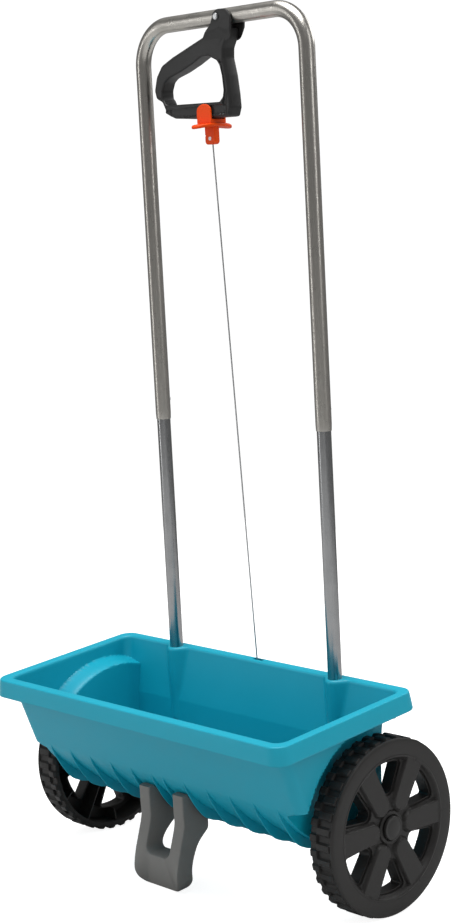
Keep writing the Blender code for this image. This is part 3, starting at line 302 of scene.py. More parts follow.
def moulded_group():
    """Moulded plastic: fine grain, faint flow marks in the colour, and dust and scuffs that dull it."""
    group, entry, leave = new_group(
        "moulded_plastic",
        {
            "Colour": (0.5, 0.5, 0.5, 1),
            "Scuff Colour": (0.6, 0.6, 0.6, 1),
            "Roughness": 0.45,
            "Flow": 0.1,
            "Scuffs": 0.1,
            "Grain": 1.0,
        },
    )
    place = group.nodes.new("ShaderNodeTexCoord").outputs["Object"]
    broad = noise(group, place, 9.0, 3)
    streak_place = group.nodes.new("ShaderNodeMapping")
    streak_place.inputs["Scale"].default_value = (14, 60, 160)
    streak_place.inputs["Rotation"].default_value = (0.2, 0.5, 0.3)
    group.links.new(place, streak_place.inputs["Vector"])
    scratches = noise(group, streak_place.outputs["Vector"], 1.0, 4, 0.7)
    grain = noise(group, place, 900.0, 2)
    shade = sums(group, "MULTIPLY", sums(group, "SUBTRACT", broad, 0.5), entry.outputs["Flow"])
    shade = sums(group, "ADD", shade, 1.0)
    hue = group.nodes.new("ShaderNodeHueSaturation")
    group.links.new(entry.outputs["Colour"], hue.inputs["Color"])
    group.links.new(shade, hue.inputs["Value"])
    worn = sums(group, "MULTIPLY", spread(group, scratches, 0.56, 0.78, 0, 1), entry.outputs["Scuffs"])
    colour = blend_colour(group, worn, hue.outputs["Color"], entry.outputs["Scuff Colour"])
    rough = sums(group, "ADD", entry.outputs["Roughness"], sums(group, "MULTIPLY", worn, 0.6))
    rough = sums(group, "ADD", rough, spread(group, broad, 0.3, 0.7, -0.03, 0.04))
    height = sums(group, "MULTIPLY", grain, entry.outputs["Grain"])
    join_up(group, leave, {"Colour": colour, "Roughness": rough, "Height": height})
    return group


def metal_group():
    """Drawn or plated metal: long brushing streaks along the tube, soft blotches, and small pits."""
    group, entry, leave = new_group(
        "drawn_metal",
        {
            "Colour": (0.6, 0.6, 0.6, 1),
            "Dull Colour": (0.4, 0.4, 0.4, 1),
            "Roughness": 0.3,
            "Streaks": 0.4,
            "Blotches": 0.3,
        },
    )
    place = group.nodes.new("ShaderNodeTexCoord").outputs["Object"]
    along = group.nodes.new("ShaderNodeMapping")
    along.inputs["Scale"].default_value = (900, 900, 14)
    group.links.new(place, along.inputs["Vector"])
    streaks = noise(group, along.outputs["Vector"], 1.0, 3, 0.6)
    blotches = noise(group, place, 46.0, 4, 0.65)
    pits = noise(group, place, 700.0, 2)
    dull = sums(group, "MULTIPLY", spread(group, blotches, 0.42, 0.66, 0, 1), entry.outputs["Blotches"])
    line = sums(group, "MULTIPLY", spread(group, streaks, 0.35, 0.65, 0, 1), entry.outputs["Streaks"])
    mask = sums(group, "ADD", dull, sums(group, "MULTIPLY", line, 0.5))
    colour = blend_colour(group, mask, entry.outputs["Colour"], entry.outputs["Dull Colour"])
    rough = sums(group, "ADD", entry.outputs["Roughness"], sums(group, "MULTIPLY", mask, 0.22))
    height = sums(group, "ADD", line, sums(group, "MULTIPLY", pits, 0.4))
    join_up(group, leave, {"Colour": colour, "Roughness": rough, "Height": height})
    return group


MOULDED, METAL = moulded_group(), metal_group()


def finish(name, group, values, bump, metallic=0.0, specular=0.38):
    """A Principled material whose colour, roughness and bump come from one of the groups."""
    material = bpy.data.materials.new(name)
    material.use_nodes = True
    tree = material.node_tree
    shader = tree.nodes["Principled BSDF"]
    effect = tree.nodes.new("ShaderNodeGroup")
    effect.node_tree = group
    for key, value in values.items():
        effect.inputs[key].default_value = (*value, 1.0) if isinstance(value, tuple) else value
    relief = tree.nodes.new("ShaderNodeBump")
    relief.inputs["Strength"].default_value = 1.0
    relief.inputs["Distance"].default_value = bump
    tree.links.new(effect.outputs["Colour"], shader.inputs["Base Color"])
    tree.links.new(effect.outputs["Roughness"], shader.inputs["Roughness"])
    tree.links.new(effect.outputs["Height"], relief.inputs["Height"])
    tree.links.new(relief.outputs["Normal"], shader.inputs["Normal"])
    shader.inputs["Metallic"].default_value = metallic
    shader.inputs["Specular IOR Level"].default_value = specular
    return material


def plastic(name, colour, scuff, roughness, flow, scuffs, grain, bump, **more):
    values = {"Colour": colour, "Scuff Colour": scuff, "Roughness": roughness}
    values |= {"Flow": flow, "Scuffs": scuffs, "Grain": grain}
    return finish(name, MOULDED, values, bump, **more)


def metal(name, colour, dull, roughness, streaks, blotches, bump, **more):
    values = {"Colour": colour, "Dull Colour": dull, "Roughness": roughness}
    values |= {"Streaks": streaks, "Blotches": blotches}
    return finish(name, METAL, values, bump, metallic=1.0, specular=0.5, **more)


# name: colour, scuff colour, roughness, flow, scuffs, grain, bump distance
HOPPER_TEAL = plastic("hopper_teal", (0.001, 0.325, 0.450), (0.01, 0.40, 0.53), 0.42, 0.10, 0.10, 1.0, 4e-5)
# the guide rails' teal and scuff colour are the hopper's teal made darker: painted shade for their place in the
# shade under the hopper
RAIL_TEAL_PAINTED_SHADE = plastic("rail_teal_painted_shade", (0.001, 0.260, 0.360), (0.02, 0.34, 0.45), 0.48, 0.10, 0.15, 1.0, 4e-5)
WHEEL_BLACK = plastic(
    "wheel_black", (0.0165, 0.0155, 0.0148), (0.050, 0.049, 0.047), 0.46, 0.30, 0.25, 1.0, 5e-5
)
CAP_BLACK = plastic("cap_black", (0.014, 0.0135, 0.013), (0.045, 0.044, 0.042), 0.36, 0.25, 0.20, 0.7, 4e-5)
FOOT_GREY = plastic("foot_grey", (0.190, 0.188, 0.180), (0.26, 0.255, 0.245), 0.50, 0.20, 0.25, 1.0, 5e-5)
LEVER_BLACK = plastic(
    "lever_black", (0.0185, 0.0185, 0.0185), (0.040, 0.040, 0.040), 0.40, 0.25, 0.15, 1.0, 5e-5
)
SLIDER_ORANGE = plastic(
    "slider_orange", (0.760, 0.062, 0.000), (0.80, 0.10, 0.001), 0.42, 0.12, 0.12, 0.8, 4e-5, specular=0.2
)
BUSH_WHITE = plastic("bush_white", (0.70, 0.69, 0.64), (0.45, 0.44, 0.40), 0.42, 0.10, 0.25, 0.8, 3e-5)
NYLON = plastic("nylon_cream", (0.52, 0.50, 0.45), (0.36, 0.35, 0.32), 0.46, 0.12, 0.25, 0.8, 3e-5)
# name: colour, dull colour, roughness, streaks, blotches, bump distance
BOW_STEEL = metal("bow_stainless", (0.56, 0.54, 0.50), (0.40, 0.38, 0.35), 0.26, 0.5, 0.35, 3e-5)
TUBE_ZINC = metal("tube_zinc", (0.40, 0.405, 0.41), (0.31, 0.315, 0.32), 0.15, 0.30, 0.22, 2e-5)
SMALL_STEEL = metal("small_steel", (0.60, 0.61, 0.62), (0.40, 0.40, 0.40), 0.28, 0.3, 0.4, 2e-5)

NODE_LOOKS = (
    (HOPPER_TEAL, "hopper"),
    (RAIL_TEAL_PAINTED_SHADE, "guide_rail_front_left guide_rail_front_right guide_rail_rear_left guide_rail_rear_right"),
    (WHEEL_BLACK, "wheel_left wheel_right"),
    (CAP_BLACK, "hub_cap_left hub_cap_right"),
    (FOOT_GREY, "stand_foot"),
    (LEVER_BLACK, "control_lever"),
    (SLIDER_ORANGE, "dose_slider"),
    (BUSH_WHITE, "axle_bush_left axle_bush_right"),
    (NYLON, "agitator bell_crank link_guide shutter_plate"),
    (BOW_STEEL, "handle_bow"),
    (TUBE_ZINC, "lower_tube_left lower_tube_right"),
    (SMALL_STEEL, "axle_shaft crank_pivot_screw guide_screw lock_washer_left lock_washer_right"),
    (SMALL_STEEL, "lever_pivot_pin pivot_lock_washer pull_link pull_wire return_spring wire_nipple"),
    (SMALL_STEEL, "thrust_washer_left thrust_washer_right tube_screw_left tube_screw_right"),
)
for look, node_names in NODE_LOOKS:
    for node_name in node_names.split():
        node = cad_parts[node_name]
        node.data.materials.clear()
        node.data.materials.append(look)

# ---------------------------------------------------------------- wheels

SPOKE_TURN, SECTOR = radians(-5.0), radians(60.0)
WEB_FACE, WEB_BACK, WALL_BACK = 0.2690, 0.2660, 0.2500
BAND_IN, INNER = 0.1000, 0.2383
HUB_R, RING_R = 0.0200, 0.0900  # circles where the six sectors meet the hub and the band


def wheel_face(y, z):
    """The wheel's face as x: the web, plus the higher of the ring's slope and the spoke ridges.

    A ridge is 5 mm high inside a bar whose half width grows from 12.5 to 14.5 mm outwards and
    whose inner end is a half circle; its walls are smooth steps.
    """
    r, t = np.hypot(y, z), np.arctan2(z, y)
    ring = step(0.0818, 0.0872, r)
    across = (t - SPOKE_TURN + SECTOR / 2) % SECTOR - SECTOR / 2
    u, v = r * np.cos(across), r * np.sin(across)
    near = 0.0125
    half = near + 0.002 * np.clip((u - 0.034) / 0.050, 0, 1)
    inside = np.where(u > 0.022 + near, half - np.abs(v), near - np.hypot(u - 0.022 - near, v))
    ridge = step(-0.0022, 0.0012, inside)
    rise = np.maximum(0.0050 * ridge, 0.0060 * ring)
    groove = 0.0004 * np.exp(-(((r - 0.0895) / 0.0009) ** 2))
    return WEB_FACE + rise - groove


def window_line(count, grow=0.0):
    """The outline of one gap about its own middle line: two straight sides 24.3 degrees each way
    from an apex, an outer arc, and round corners."""
    spread, corner_r, apex_r = radians(24.3), 0.0050, 0.0100
    apex, out = 0.0246, 0.0820
    line = []
    middle = apex + apex_r / sin(spread)
    for t in np.linspace(pi, pi / 2 + spread, 9):
        line.append((middle + apex_r * cos(t), apex_r * sin(t)))
    reach_out = out - corner_r
    gap = apex * sin(spread) + corner_r
    along = sqrt(reach_out**2 - gap**2)
    cx, cy = along * cos(spread) + gap * sin(spread), along * sin(spread) - gap * cos(spread)
    for t in np.linspace(pi / 2 + spread, atan2(cy, cx), 8):
        line.append((cx + corner_r * cos(t), cy + corner_r * sin(t)))
    end = atan2(cy, cx)
    for t in np.linspace(end, 0, 8)[1:]:
        line.append((out * cos(t), out * sin(t)))
    line = np.array(line)
    whole = np.concatenate([line, line[-2:0:-1] * (1, -1)])
    return even_line(whole - normals_of(whole) * grow, count, closed=True)


def sector_edge(line, hub, ring):
    """The outer edge of one sector, point for point with a window's outline.

    Each outline point goes out from the window's middle to the nearest of the hub circle, the
    ring circle and the two spokes' centre lines.
    """
    centre = np.array([0.058, 0.0])
    way = line - centre
    way /= np.linalg.norm(way, axis=1)[:, None]
    b = way @ centre
    to_ring = -b + np.sqrt(b**2 - centre @ centre + ring**2)
    under = b**2 - centre @ centre + hub**2
    to_hub = np.where((under > 0) & (b < 0), -b - np.sqrt(np.maximum(under, 0)), np.inf)
    sides = []
    for sign in (-1, 1):
        normal = np.array([-sin(sign * pi / 6), cos(sign * pi / 6)]) * sign
        slope = way @ normal
        far = np.where(slope > 1e-6, -(centre @ normal) / np.maximum(slope, 1e-6), np.inf)
        sides.append(far)
    reach_out = np.minimum.reduce([to_ring, to_hub, *sides])
    return centre + way * reach_out[:, None]


def turned_flat(points, turn):
    """Points of a plane turned about its origin."""
    c, s = cos(turn), sin(turn)
    return points @ np.array([[c, s], [-s, c]])


def wheel_sector(shell, k):
    """One sixth of the web: the face between the window and the sector's edge, the window's rounded
    lip and deep wall, and the web's back."""
    count = 144
    turn = SPOKE_TURN + SECTOR * (k + 0.5)
    line = window_line(count)
    edge = sector_edge(line, HUB_R, RING_R)
    gap = np.linalg.norm(edge - line, axis=1)[:, None]
    way = (edge - line) / gap
    lip = 0.0010
    near = np.array([0, 0.00008, 0.0003, 0.0006, 0.0010, 0.0016])
    rows = [line + way * np.minimum(d, 0.3 * gap) for d in near]
    rows += [line + way * (0.0016 + (gap - 0.0016) * s) for s in np.linspace(0, 1, 26)[1:]]
    flat = np.stack(rows)
    flat = np.stack([turned_flat(row, turn) for row in flat])
    off = np.linalg.norm(np.stack(rows) - line, axis=2)
    drop = lip - np.sqrt(np.maximum(lip**2 - np.maximum(lip - off, 0) ** 2, 0))
    x = wheel_face(flat[..., 0], flat[..., 1]) - drop
    face = np.concatenate([x[..., None], flat], -1)
    shell.grid(face, round_v=True)
    inner = turned_flat(line, turn)
    outer = turned_flat(window_line(count, -0.0024), turn)
    depths = np.array([0.0, 0.3, 0.7, 1.0])
    wall_x = x[0][None] * (1 - depths[:, None]) + WALL_BACK * depths[:, None]
    wall = np.concatenate([wall_x[..., None], np.repeat(inner[None], 4, 0)], -1)
    shell.grid(wall[::-1], round_v=True)
    back = [(inner, WALL_BACK), (inner * 0.5 + outer * 0.5, WALL_BACK - 0.0006), (outer, WALL_BACK)]
    back += [(outer, WEB_BACK)]
    back = np.stack([np.concatenate([np.full((count, 1), d), p], 1) for p, d in back])
    shell.grid(back, round_v=True)
    web = np.stack([outer, turned_flat(edge, turn)])
    web = np.concatenate([np.full((2, count, 1), WEB_BACK), web], -1)
    shell.grid(web, round_v=True)


def tread(shell):
    """The band round the wheel. Its radius rises 3.4 mm at the lugs: two rows of them, half a step
    apart, each lug a trapezoid round the band with soft flanks."""
    lugs = 36
    around = lugs * 16
    turn = np.arange(around) * 2 * pi / around
    base, rise_to = 0.1060, 0.0034
    pitch = 2 * pi / lugs

    def lug(middle):
        off = np.abs((turn / pitch - middle + 0.5) % 1 - 0.5)
        return step(0.29, 0.21, off)

    def ring(x, radius):
        return np.stack([np.full(around, x), radius * np.cos(turn), radius * np.sin(turn)], -1)

    one, two = lug(0.95), lug(0.45)
    both = np.maximum(one, two) * 0.9
    # distance from the band's inner edge, and the share of the lugs' height there
    rows = [(0.0012, 0.6 * one), (0.0020, one), (0.0110, one), (0.0118, both), (0.0128, two)]
    rows += [(0.0290, two), (0.0306, two), (0.0316, 0.45 * two), (0.0322, 0.45 * two)]
    grid = [ring(INNER + along, base - 0.0008) for along in (0.0, 0.0003)]
    grid += [ring(INNER + along, base + rise_to * rise) for along, rise in rows]
    shoulder = [(0.0327, 0.1078), (0.0334, 0.1084), (0.0352, 0.1082), (0.0361, 0.1072)]
    shoulder += [(0.0366, 0.1056), (0.0367, 0.1035), (0.0367, 0.0960)]
    grid += [ring(INNER + along, radius) for along, radius in shoulder]
    grid.append(ring(wheel_face(np.array([RING_R]), np.array([0.0]))[0], RING_R))
    shell.grid(np.stack(grid), round_v=True)
    inside = [(0.1052, INNER), (0.1046, INNER - 0.0002), (BAND_IN + 0.0004, INNER)]
    inside += [(BAND_IN, INNER + 0.0006), (BAND_IN - 0.0008, 0.2640), (BAND_IN - 0.0022, WEB_BACK)]
    inside += [(RING_R, WEB_BACK)]
    shell.lathe(inside, 144)


def fin(shell, turn, low, high):
    """A thin radial rib behind the web: two flat sides joined round their edge."""
    radius = np.array([low, low, high, high])
    x = np.array([0.2665, 0.2460, 0.2425, 0.2665])
    sides = []
    for half in (-0.0009, 0.0009):
        flat = turned_flat(pair(radius, np.full(4, half)), turn)
        side = np.concatenate([x[:, None], flat], 1)
        sides.append(side)
        shell.grid(side[[0, 1, 3, 2]].reshape(2, 2, 3))
    shell.grid(np.stack(sides, 1), round_u=True)


def wheel(side, label, body):
    """One moulded wheel and its cap; the left one is the right one mirrored."""
    shell = Shell(from_axle)
    for k in range(6):
        wheel_sector(shell, k)
    tread(shell)
    hub = [(HUB_R, WEB_FACE), (0.0206, WEB_FACE + 0.0004), (0.0204, WEB_FACE + 0.0018)]
    hub += [(0.0196, WEB_FACE + 0.0025), (0.0165, WEB_FACE + 0.0026), (0.0158, WEB_FACE + 0.0020)]
    hub += [(0.0154, WEB_FACE - 0.0020), (0.0056, WEB_FACE - 0.0020)]
    shell.lathe(hub, 72)
    sleeve = [(HUB_R, WEB_BACK), (0.0176, WEB_BACK - 0.0012), (0.0170, 0.2480), (0.0150, 0.2300)]
    sleeve += [(0.0144, 0.2283), (0.0056, 0.2283)]
    shell.lathe(sleeve, 72)
    for k in range(12):
        fin(shell, SPOKE_TURN + SECTOR / 2 * k, 0.0165 if k % 2 == 0 else 0.0840, 0.0995)
    node, cap_node, mirror = f"wheel_{label}", f"hub_cap_{label}", side < 0
    shell.piece(f"{node}_moulding", body, "black_plastic", WHEEL_BLACK, [node], mirror)
    dome = [(0.0, 0.27640), (0.0050, 0.27630), (0.0100, 0.27590), (0.0126, 0.27540), (0.0132, 0.27560)]
    dome += [(0.0140, 0.27555), (0.0147, 0.27490), (0.0149, 0.27380), (0.0149, 0.27190)]
    dome += [(0.0130, 0.27160), (0.0, 0.27160)]
    cap = Shell(from_axle).lathe(dome, 72)
    cap.piece(f"{cap_node}_domed", body, "black_plastic", CAP_BLACK, [cap_node], mirror)


wheel(1, "right", "drive_wheel")
wheel(-1, "left", "free_wheel")

# ---------------------------------------------------------------- handle tubes

def lower_tube(side, label):
    """A straight tube with a slightly rounded edge at each end, open down to its bore."""
    low, high, edge = -0.0975, JOINT_UP + 0.0595, 0.0006
    middle = np.linspace(low + 0.01, high - 0.01, 40)
    heights = np.concatenate([[low, low + edge], middle, [high - edge, high]])
    path = np.stack([np.full(len(heights), side * TUBE_SPREAD), 0 * heights, heights], -1)
    radii = np.full(len(heights), LOWER_R)
    radii[[0, -1]] -= 0.0005
    skin, bore = tube_along(path, radii, 48), tube_along(path, LOWER_R - 0.0014, 48)
    shell = Shell(from_handle).grid(skin, round_v=True)
    for at in (0, -1):
        shell.grid(np.stack([skin[at], bore[at]]), round_v=True)
    shell.grid(bore[[0, -1]], round_v=True)
    node = f"lower_tube_{label}"
    shell.piece(f"{node}_plated", "chassis", "zinc_tube", TUBE_ZINC, [node])


lower_tube(-1, "left")
lower_tube(1, "right")


def bow_path():
    """Up one leg, a quarter circle, along the bar, a quarter circle, and down the other leg."""
    leg_z = np.linspace(JOINT_UP + 0.0002, BAR_UP - BEND_R, 60)
    turn = np.linspace(0, pi / 2, 22)[1:]
    cx, cz = TUBE_SPREAD - BEND_R, BAR_UP - BEND_R
    half = [np.stack([np.full(60, TUBE_SPREAD), leg_z], -1)]
    half.append(np.stack([cx + BEND_R * np.cos(turn), cz + BEND_R * np.sin(turn)], -1))
    half.append(np.stack([np.linspace(cx, 0, 16)[1:], np.full(15, BAR_UP)], -1))
    half = np.concatenate(half)
    whole = np.concatenate([half, half[-2::-1] * (-1, 1)])
    return np.stack([whole[:, 0], np.zeros(len(whole)), whole[:, 1]], -1)


path = bow_path()
radii = np.full(len(path), BOW_R)
radii[[0, -1]] -= 0.0004
skin, core = tube_along(path, radii, 56), tube_along(path, BOW_R - 0.0008, 56)
bow = Shell(from_handle).grid(skin, round_v=True)
for at in (0, -1):
    bow.grid(np.stack([skin[at], core[at]]), round_v=True)
bow.grid(core, round_v=True)
bow.piece("handle_bow_brushed", "chassis", "stainless_tube", BOW_STEEL, ["handle_bow"])

# ---------------------------------------------------------------- hopper


def front_wall(depth):
    """Y of the front wall's outer face: straight, then a curl with exponent 1.7 to the bottom."""
    curl = np.clip((depth - FRONT_KINK) / (HOPPER_DROP - FRONT_KINK), 0, 1)
    at_kink, start = -FRONT_TOP + FRONT_SLOPE * FRONT_KINK, FRONT_SLOPE * (HOPPER_DROP - FRONT_KINK)
    low = at_kink + start * curl + (0 - at_kink - start) * curl**1.7
    return np.where(depth <= FRONT_KINK, -FRONT_TOP + FRONT_SLOPE * depth, low)


def back_wall(depth):
    """Y of the back wall's outer face: two straight slopes."""
    depths = [-0.02, 0.0, BACK_KINK, HOPPER_DROP]
    places = [BACK_TOP + BACK_SLOPE * 0.02, BACK_TOP, BACK_TOP - BACK_SLOPE * BACK_KINK, BACK_LOW]
    return np.interp(depth, depths, places)


SLOT_X, SLOT_Y = (-0.0065, 0.0110), (0.1105, 0.1162)  # the wire's slot in the rim
SIDE_HALF, EVEN_HALF = 0.236, 0.190  # places along a side, and the part of them that never shifts


def side_places(middle, exact, count):
    """Places along a side, closer together near +-middle and the ends, with some made exact."""
    t = np.linspace(-1, 1, 2001)
    weight = 1 + 0.8 * np.abs(t) ** 6
    if middle:
        weight = weight + 2.6 * np.exp(-(((np.abs(t) - middle / SIDE_HALF) / 0.075) ** 2))
    run = np.concatenate([[0], np.cumsum((weight[1:] + weight[:-1]) / 2)])
    places = np.interp(np.linspace(0, run[-1], count), run, t) * SIDE_HALF
    for x in exact:
        places[np.argmin(np.abs(places - x))] = x
    return places


BACK_X = side_places(TUBE_SPREAD, SLOT_X, 170)
FRONT_X = side_places(0, (), 70)
END_T = np.linspace(-1, 1, 84)
CORNER_T = np.linspace(0, pi / 2, 9)[1:-1]


def level(end, front, back, corner, z):
    """One level section: a rectangle with round corners, always with the same number of points."""
    reach_x, mid, half = end - corner, (front + back) / 2, (back - front) / 2 - corner
    across, along = corner * np.sin(CORNER_T), corner * np.cos(CORNER_T)
    back_x = BACK_X[::-1]
    stretch = (reach_x - EVEN_HALF) / (SIDE_HALF - EVEN_HALF)
    moved = np.sign(back_x) * (EVEN_HALF + (np.abs(back_x) - EVEN_HALF) * stretch)
    back_x = np.where(np.abs(back_x) > EVEN_HALF, moved, back_x)
    sides = [
        pair(FRONT_X / SIDE_HALF * reach_x, np.full(len(FRONT_X), front)),
        pair(reach_x + across, front + corner - along),
        pair(np.full(len(END_T), end), mid + half * END_T),
        pair(reach_x + along, back - corner + across),
        pair(back_x, np.full(len(BACK_X), back)),
        pair(-reach_x - across, back - corner + along),
        pair(np.full(len(END_T), -end), mid - half * END_T),
        pair(-reach_x - along, front + corner - across),
    ]
    flat = np.concatenate(sides)
    return np.concatenate([flat, np.full((len(flat), 1), z)], 1)


def bulged(points, sign):
    """The back wall swollen round the tube sockets: towards the front (sign -1) or the back (1)."""
    x, y, z = points[:, 0], points[:, 1], points[:, 2]
    off = np.abs(np.abs(x) - TUBE_SPREAD)
    bend = SOCKET_R / sqrt(2)
    shape = np.where(off < bend, np.sqrt(np.maximum(SOCKET_R**2 - off**2, 0)), bend * 2 - off)
    shape = shape - 0.0026 * step(0.03, 0.09, -z) - 0.024 * step(SOCKET_END, SOCKET_END + 0.010, -z)
    swollen = TUBE_SEAT + SOCKET_LEAN * z + sign * shape
    y_new = -sign * soft_min(-sign * y, -sign * swollen, 0.003)
    points[:, 1] = np.where((y > 0.03) & (off < 0.045), y_new, y)
    return points


def arched(points, half, radius, soft):
    """The ends drawn in over the wheels: |x| is held to half inside the arch, a circle about the
    axle that runs level in front, and let go again over a soft width outside it."""
    x, y, z = points[:, 0], points[:, 1], points[:, 2]
    over = np.hypot(y - AXLE_BACK, z + AXLE_DROP) - radius
    out = np.minimum(over, z + ARCH_DROP - (radius - ARCH_R))
    limit = half + 0.036 * step(0, soft, out)
    points[:, 0] = np.sign(x) * soft_min(np.abs(x), limit, 0.002)
    return points


def hopper_level(depth, inset):
    """A section of the hopper's outer face, or of its inner face when inset by the wall."""
    slant = 1.0 + 0.35 * float(step(0.105, 0.125, depth))
    front, back = float(front_wall(depth)) + inset * slant, float(back_wall(depth)) - inset
    section = level(END_HALF - END_DRAFT * depth - inset, front, back, WALL_CORNER - inset, -depth)
    if inset:
        return bulged(arched(section, ARCH_HALF - WALL, 0.1262, 0.009), -1)
    return arched(section, ARCH_HALF, 0.1236, 0.006)


def rim_level(inset, z, flare=0.0):
    """A section of the rim, inset from its outer edge, which the skirt's flare moves out."""
    edge = flare - inset
    return level(RIM_X + edge, -RIM_Y - edge, RIM_Y + edge, max(RIM_CORNER + edge, 0.002), z)


def lined_up(row, y):
    """Moves the middle of the back side of a row onto one edge of the wire's slot."""
    blend = (1 - step(0.02, 0.05, np.abs(row[:, 0]))) * (row[:, 1] > 0.10)
    row[:, 1] = row[:, 1] * (1 - blend) + y * blend


def hopper_rows():
    """Level sections from the inside's bottom up, over the rim, and down the outside.

    Returns them with the places of the first row of the slot in the rim's top and in its underside.
    """
    rows = [hopper_level(d, WALL) for d in np.linspace(0.1722, 0.005, 104)]
    # a fillet from the wall to the rim's flat top: a quarter ellipse
    low, reach_out = hopper_level(0.0045, WALL), 0.0040
    outwards = normals_of(low[:, :2])
    for t in np.linspace(0, pi / 2, 7)[1:]:
        row = low + (0, 0, 0.0045 * sin(t))
        row[:, :2] = low[:, :2] + reach_out * (1 - cos(t)) * outwards
        rows.append(row)
    edge = 0.0020
    top, inner, flat = len(rows) + 1, rows[-1], rim_level(edge, 0.0)
    band = [inner * (1 - t) + flat * t for t in np.linspace(0, 1, 7)[1:]]
    lined_up(band[1], SLOT_Y[0])
    lined_up(band[4], SLOT_Y[1])
    rows += band
    for t in np.linspace(0, pi / 2, 6)[1:]:
        rows.append(rim_level(edge * (1 - sin(t)), -edge * (1 - cos(t))))
    flare = SKIRT_FLARE / SKIRT_DROP
    rows += [rim_level(0.0, -d, flare * d) for d in (0.006, 0.011, 0.016, 0.0205, SKIRT_DROP - 0.0008)]
    rows.append(rim_level(0.0004, -SKIRT_DROP + 0.0002, SKIRT_FLARE))
    rows.append(rim_level(0.0012, -SKIRT_DROP, SKIRT_FLARE))
    rows.append(rim_level(WALL - 0.0002, -SKIRT_DROP + 0.0004, SKIRT_FLARE))
    rows += [rim_level(WALL, -d, flare * d) for d in (0.018, 0.010, 0.005, 0.0030)]
    under, wall_top = len(rows), hopper_level(0.0030, 0.0)
    plate = [rows[-1] * (1 - t) + wall_top * t for t in np.linspace(0, 1, 6)[1:]]
    lined_up(plate[0], SLOT_Y[1])
    lined_up(plate[1], SLOT_Y[0])
    rows += plate
    rows += [bulged(hopper_level(d, 0.0), 1) for d in np.linspace(0.006, HOPPER_DROP - 0.0002, 58)]
    return np.stack(rows), top, under


def hopper_shell(shell):
    """The hopper's walls and rim as one closed ring of rows, with the wire's slot left open."""
    grid, top, under = hopper_rows()
    x, y = grid[0, :, 0], grid[0, :, 1]
    columns = np.flatnonzero((np.abs(x - sum(SLOT_X) / 2) < 0.0089) & (y > 0.05))
    first, last = columns.min(), columns.max()
    count = grid.shape[1]
    index = np.arange(len(grid) * count).reshape(len(grid), count)
    wrap = np.concatenate([index, index[:, :1]], axis=1)
    quads = quads_of(wrap)
    keep = np.ones(quads.shape[:2], bool)
    keep[top : top + 3, first:last] = False
    keep[under, first:last] = False
    shell.add(grid, quads[keep])

    def slot_loop(near_row, far_row):
        near, far = grid[near_row, first : last + 1], grid[far_row, first : last + 1]
        return np.concatenate([near, far[::-1]])

    shell.grid(np.stack([slot_loop(top, top + 3), slot_loop(under + 1, under)]), round_v=True)
    shell.grid(grid[[-1, 0]], round_v=True)


def hopper_floor(shell):
    """The floor: a slab with a row of oblong outlets, as columns of quads with some left out."""
    half_x, half_slot = 0.2225, 0.00275
    middles = (np.arange(OUTLETS) - (OUTLETS - 1) / 2) * OUTLET_PITCH
    slots = pair(middles - half_slot, middles + half_slot)
    xs = np.concatenate([[-half_x], slots.ravel(), [half_x]])
    ys = np.array([0.0012, *OUTLET_Y, 0.0820])
    gx, gy = np.meshgrid(xs, ys, indexing="ij")
    for z in (FLOOR_TOP, FLOOR_LOW):
        cells = quads_of(np.arange(gx.size).reshape(gx.shape))
        held = np.ones(cells.shape[:2], bool)
        held[1:-1:2, 1] = False
        shell.add(np.stack([gx, gy, 0 * gx + z], -1), cells[held])
    edges = [(*slot, OUTLET_Y) for slot in slots] + [(-half_x, half_x, ys[[0, -1]])]
    for low_x, high_x, (low_y, high_y) in edges:
        loop = np.array([[low_x, low_y], [high_x, low_y], [high_x, high_y], [low_x, high_y]])
        sides = [np.concatenate([loop, np.full((4, 1), z)], 1) for z in (FLOOR_TOP, FLOOR_LOW)]
        shell.grid(np.stack(sides), round_v=True)


def hopper_ribs():
    """Fins from the wall out to an arc, with a half circle across their free edge."""
    arc = [(-0.0805, -0.0945), (-0.0777, -0.1065), (-0.0710, -0.1210), (-0.0635, -0.1350)]
    arc += [(-0.0550, -0.1470), (-0.0490, -0.1530), (-0.0410, -0.1580), (-0.0315, -0.1625)]
    arc += [(-0.0030, -0.1720)]
    arc = even_line(smooth_line(arc, 120), 46)
    way = np.gradient(arc, axis=0)
    way /= np.linalg.norm(way, axis=1)[:, None]
    out = pair(way[:, 1], -way[:, 0])
    half, root_half = 0.0010, 0.0012
    root = pair(front_wall(-arc[:, 1]) + 0.0013, arc[:, 1])
    section = [(-root_half, root)]
    section += [(half * sin(t), arc + out * half * (cos(t) - 1)) for t in np.linspace(-pi / 2, pi / 2, 7)]
    section += [(root_half, root)]
    ribs = Shell()
    for place in RIB_PLACES:
        for side in (-1, 1):
            lines = [np.insert(at, 0, side * place + dx, axis=1) for dx, at in section]
            ribs.grid(np.stack(lines), round_u=True)
    return ribs


hopper = Shell()
hopper_shell(hopper)
hopper_floor(hopper)
hopper.piece("hopper_moulding", "chassis", "teal_plastic", HOPPER_TEAL, ["hopper"], merge=1e-5, sharp=40)
hopper_ribs().piece("hopper_ribs", "chassis", "teal_plastic", HOPPER_TEAL, merge=1e-6, sharp=50)

# ---------------------------------------------------------------- stand foot


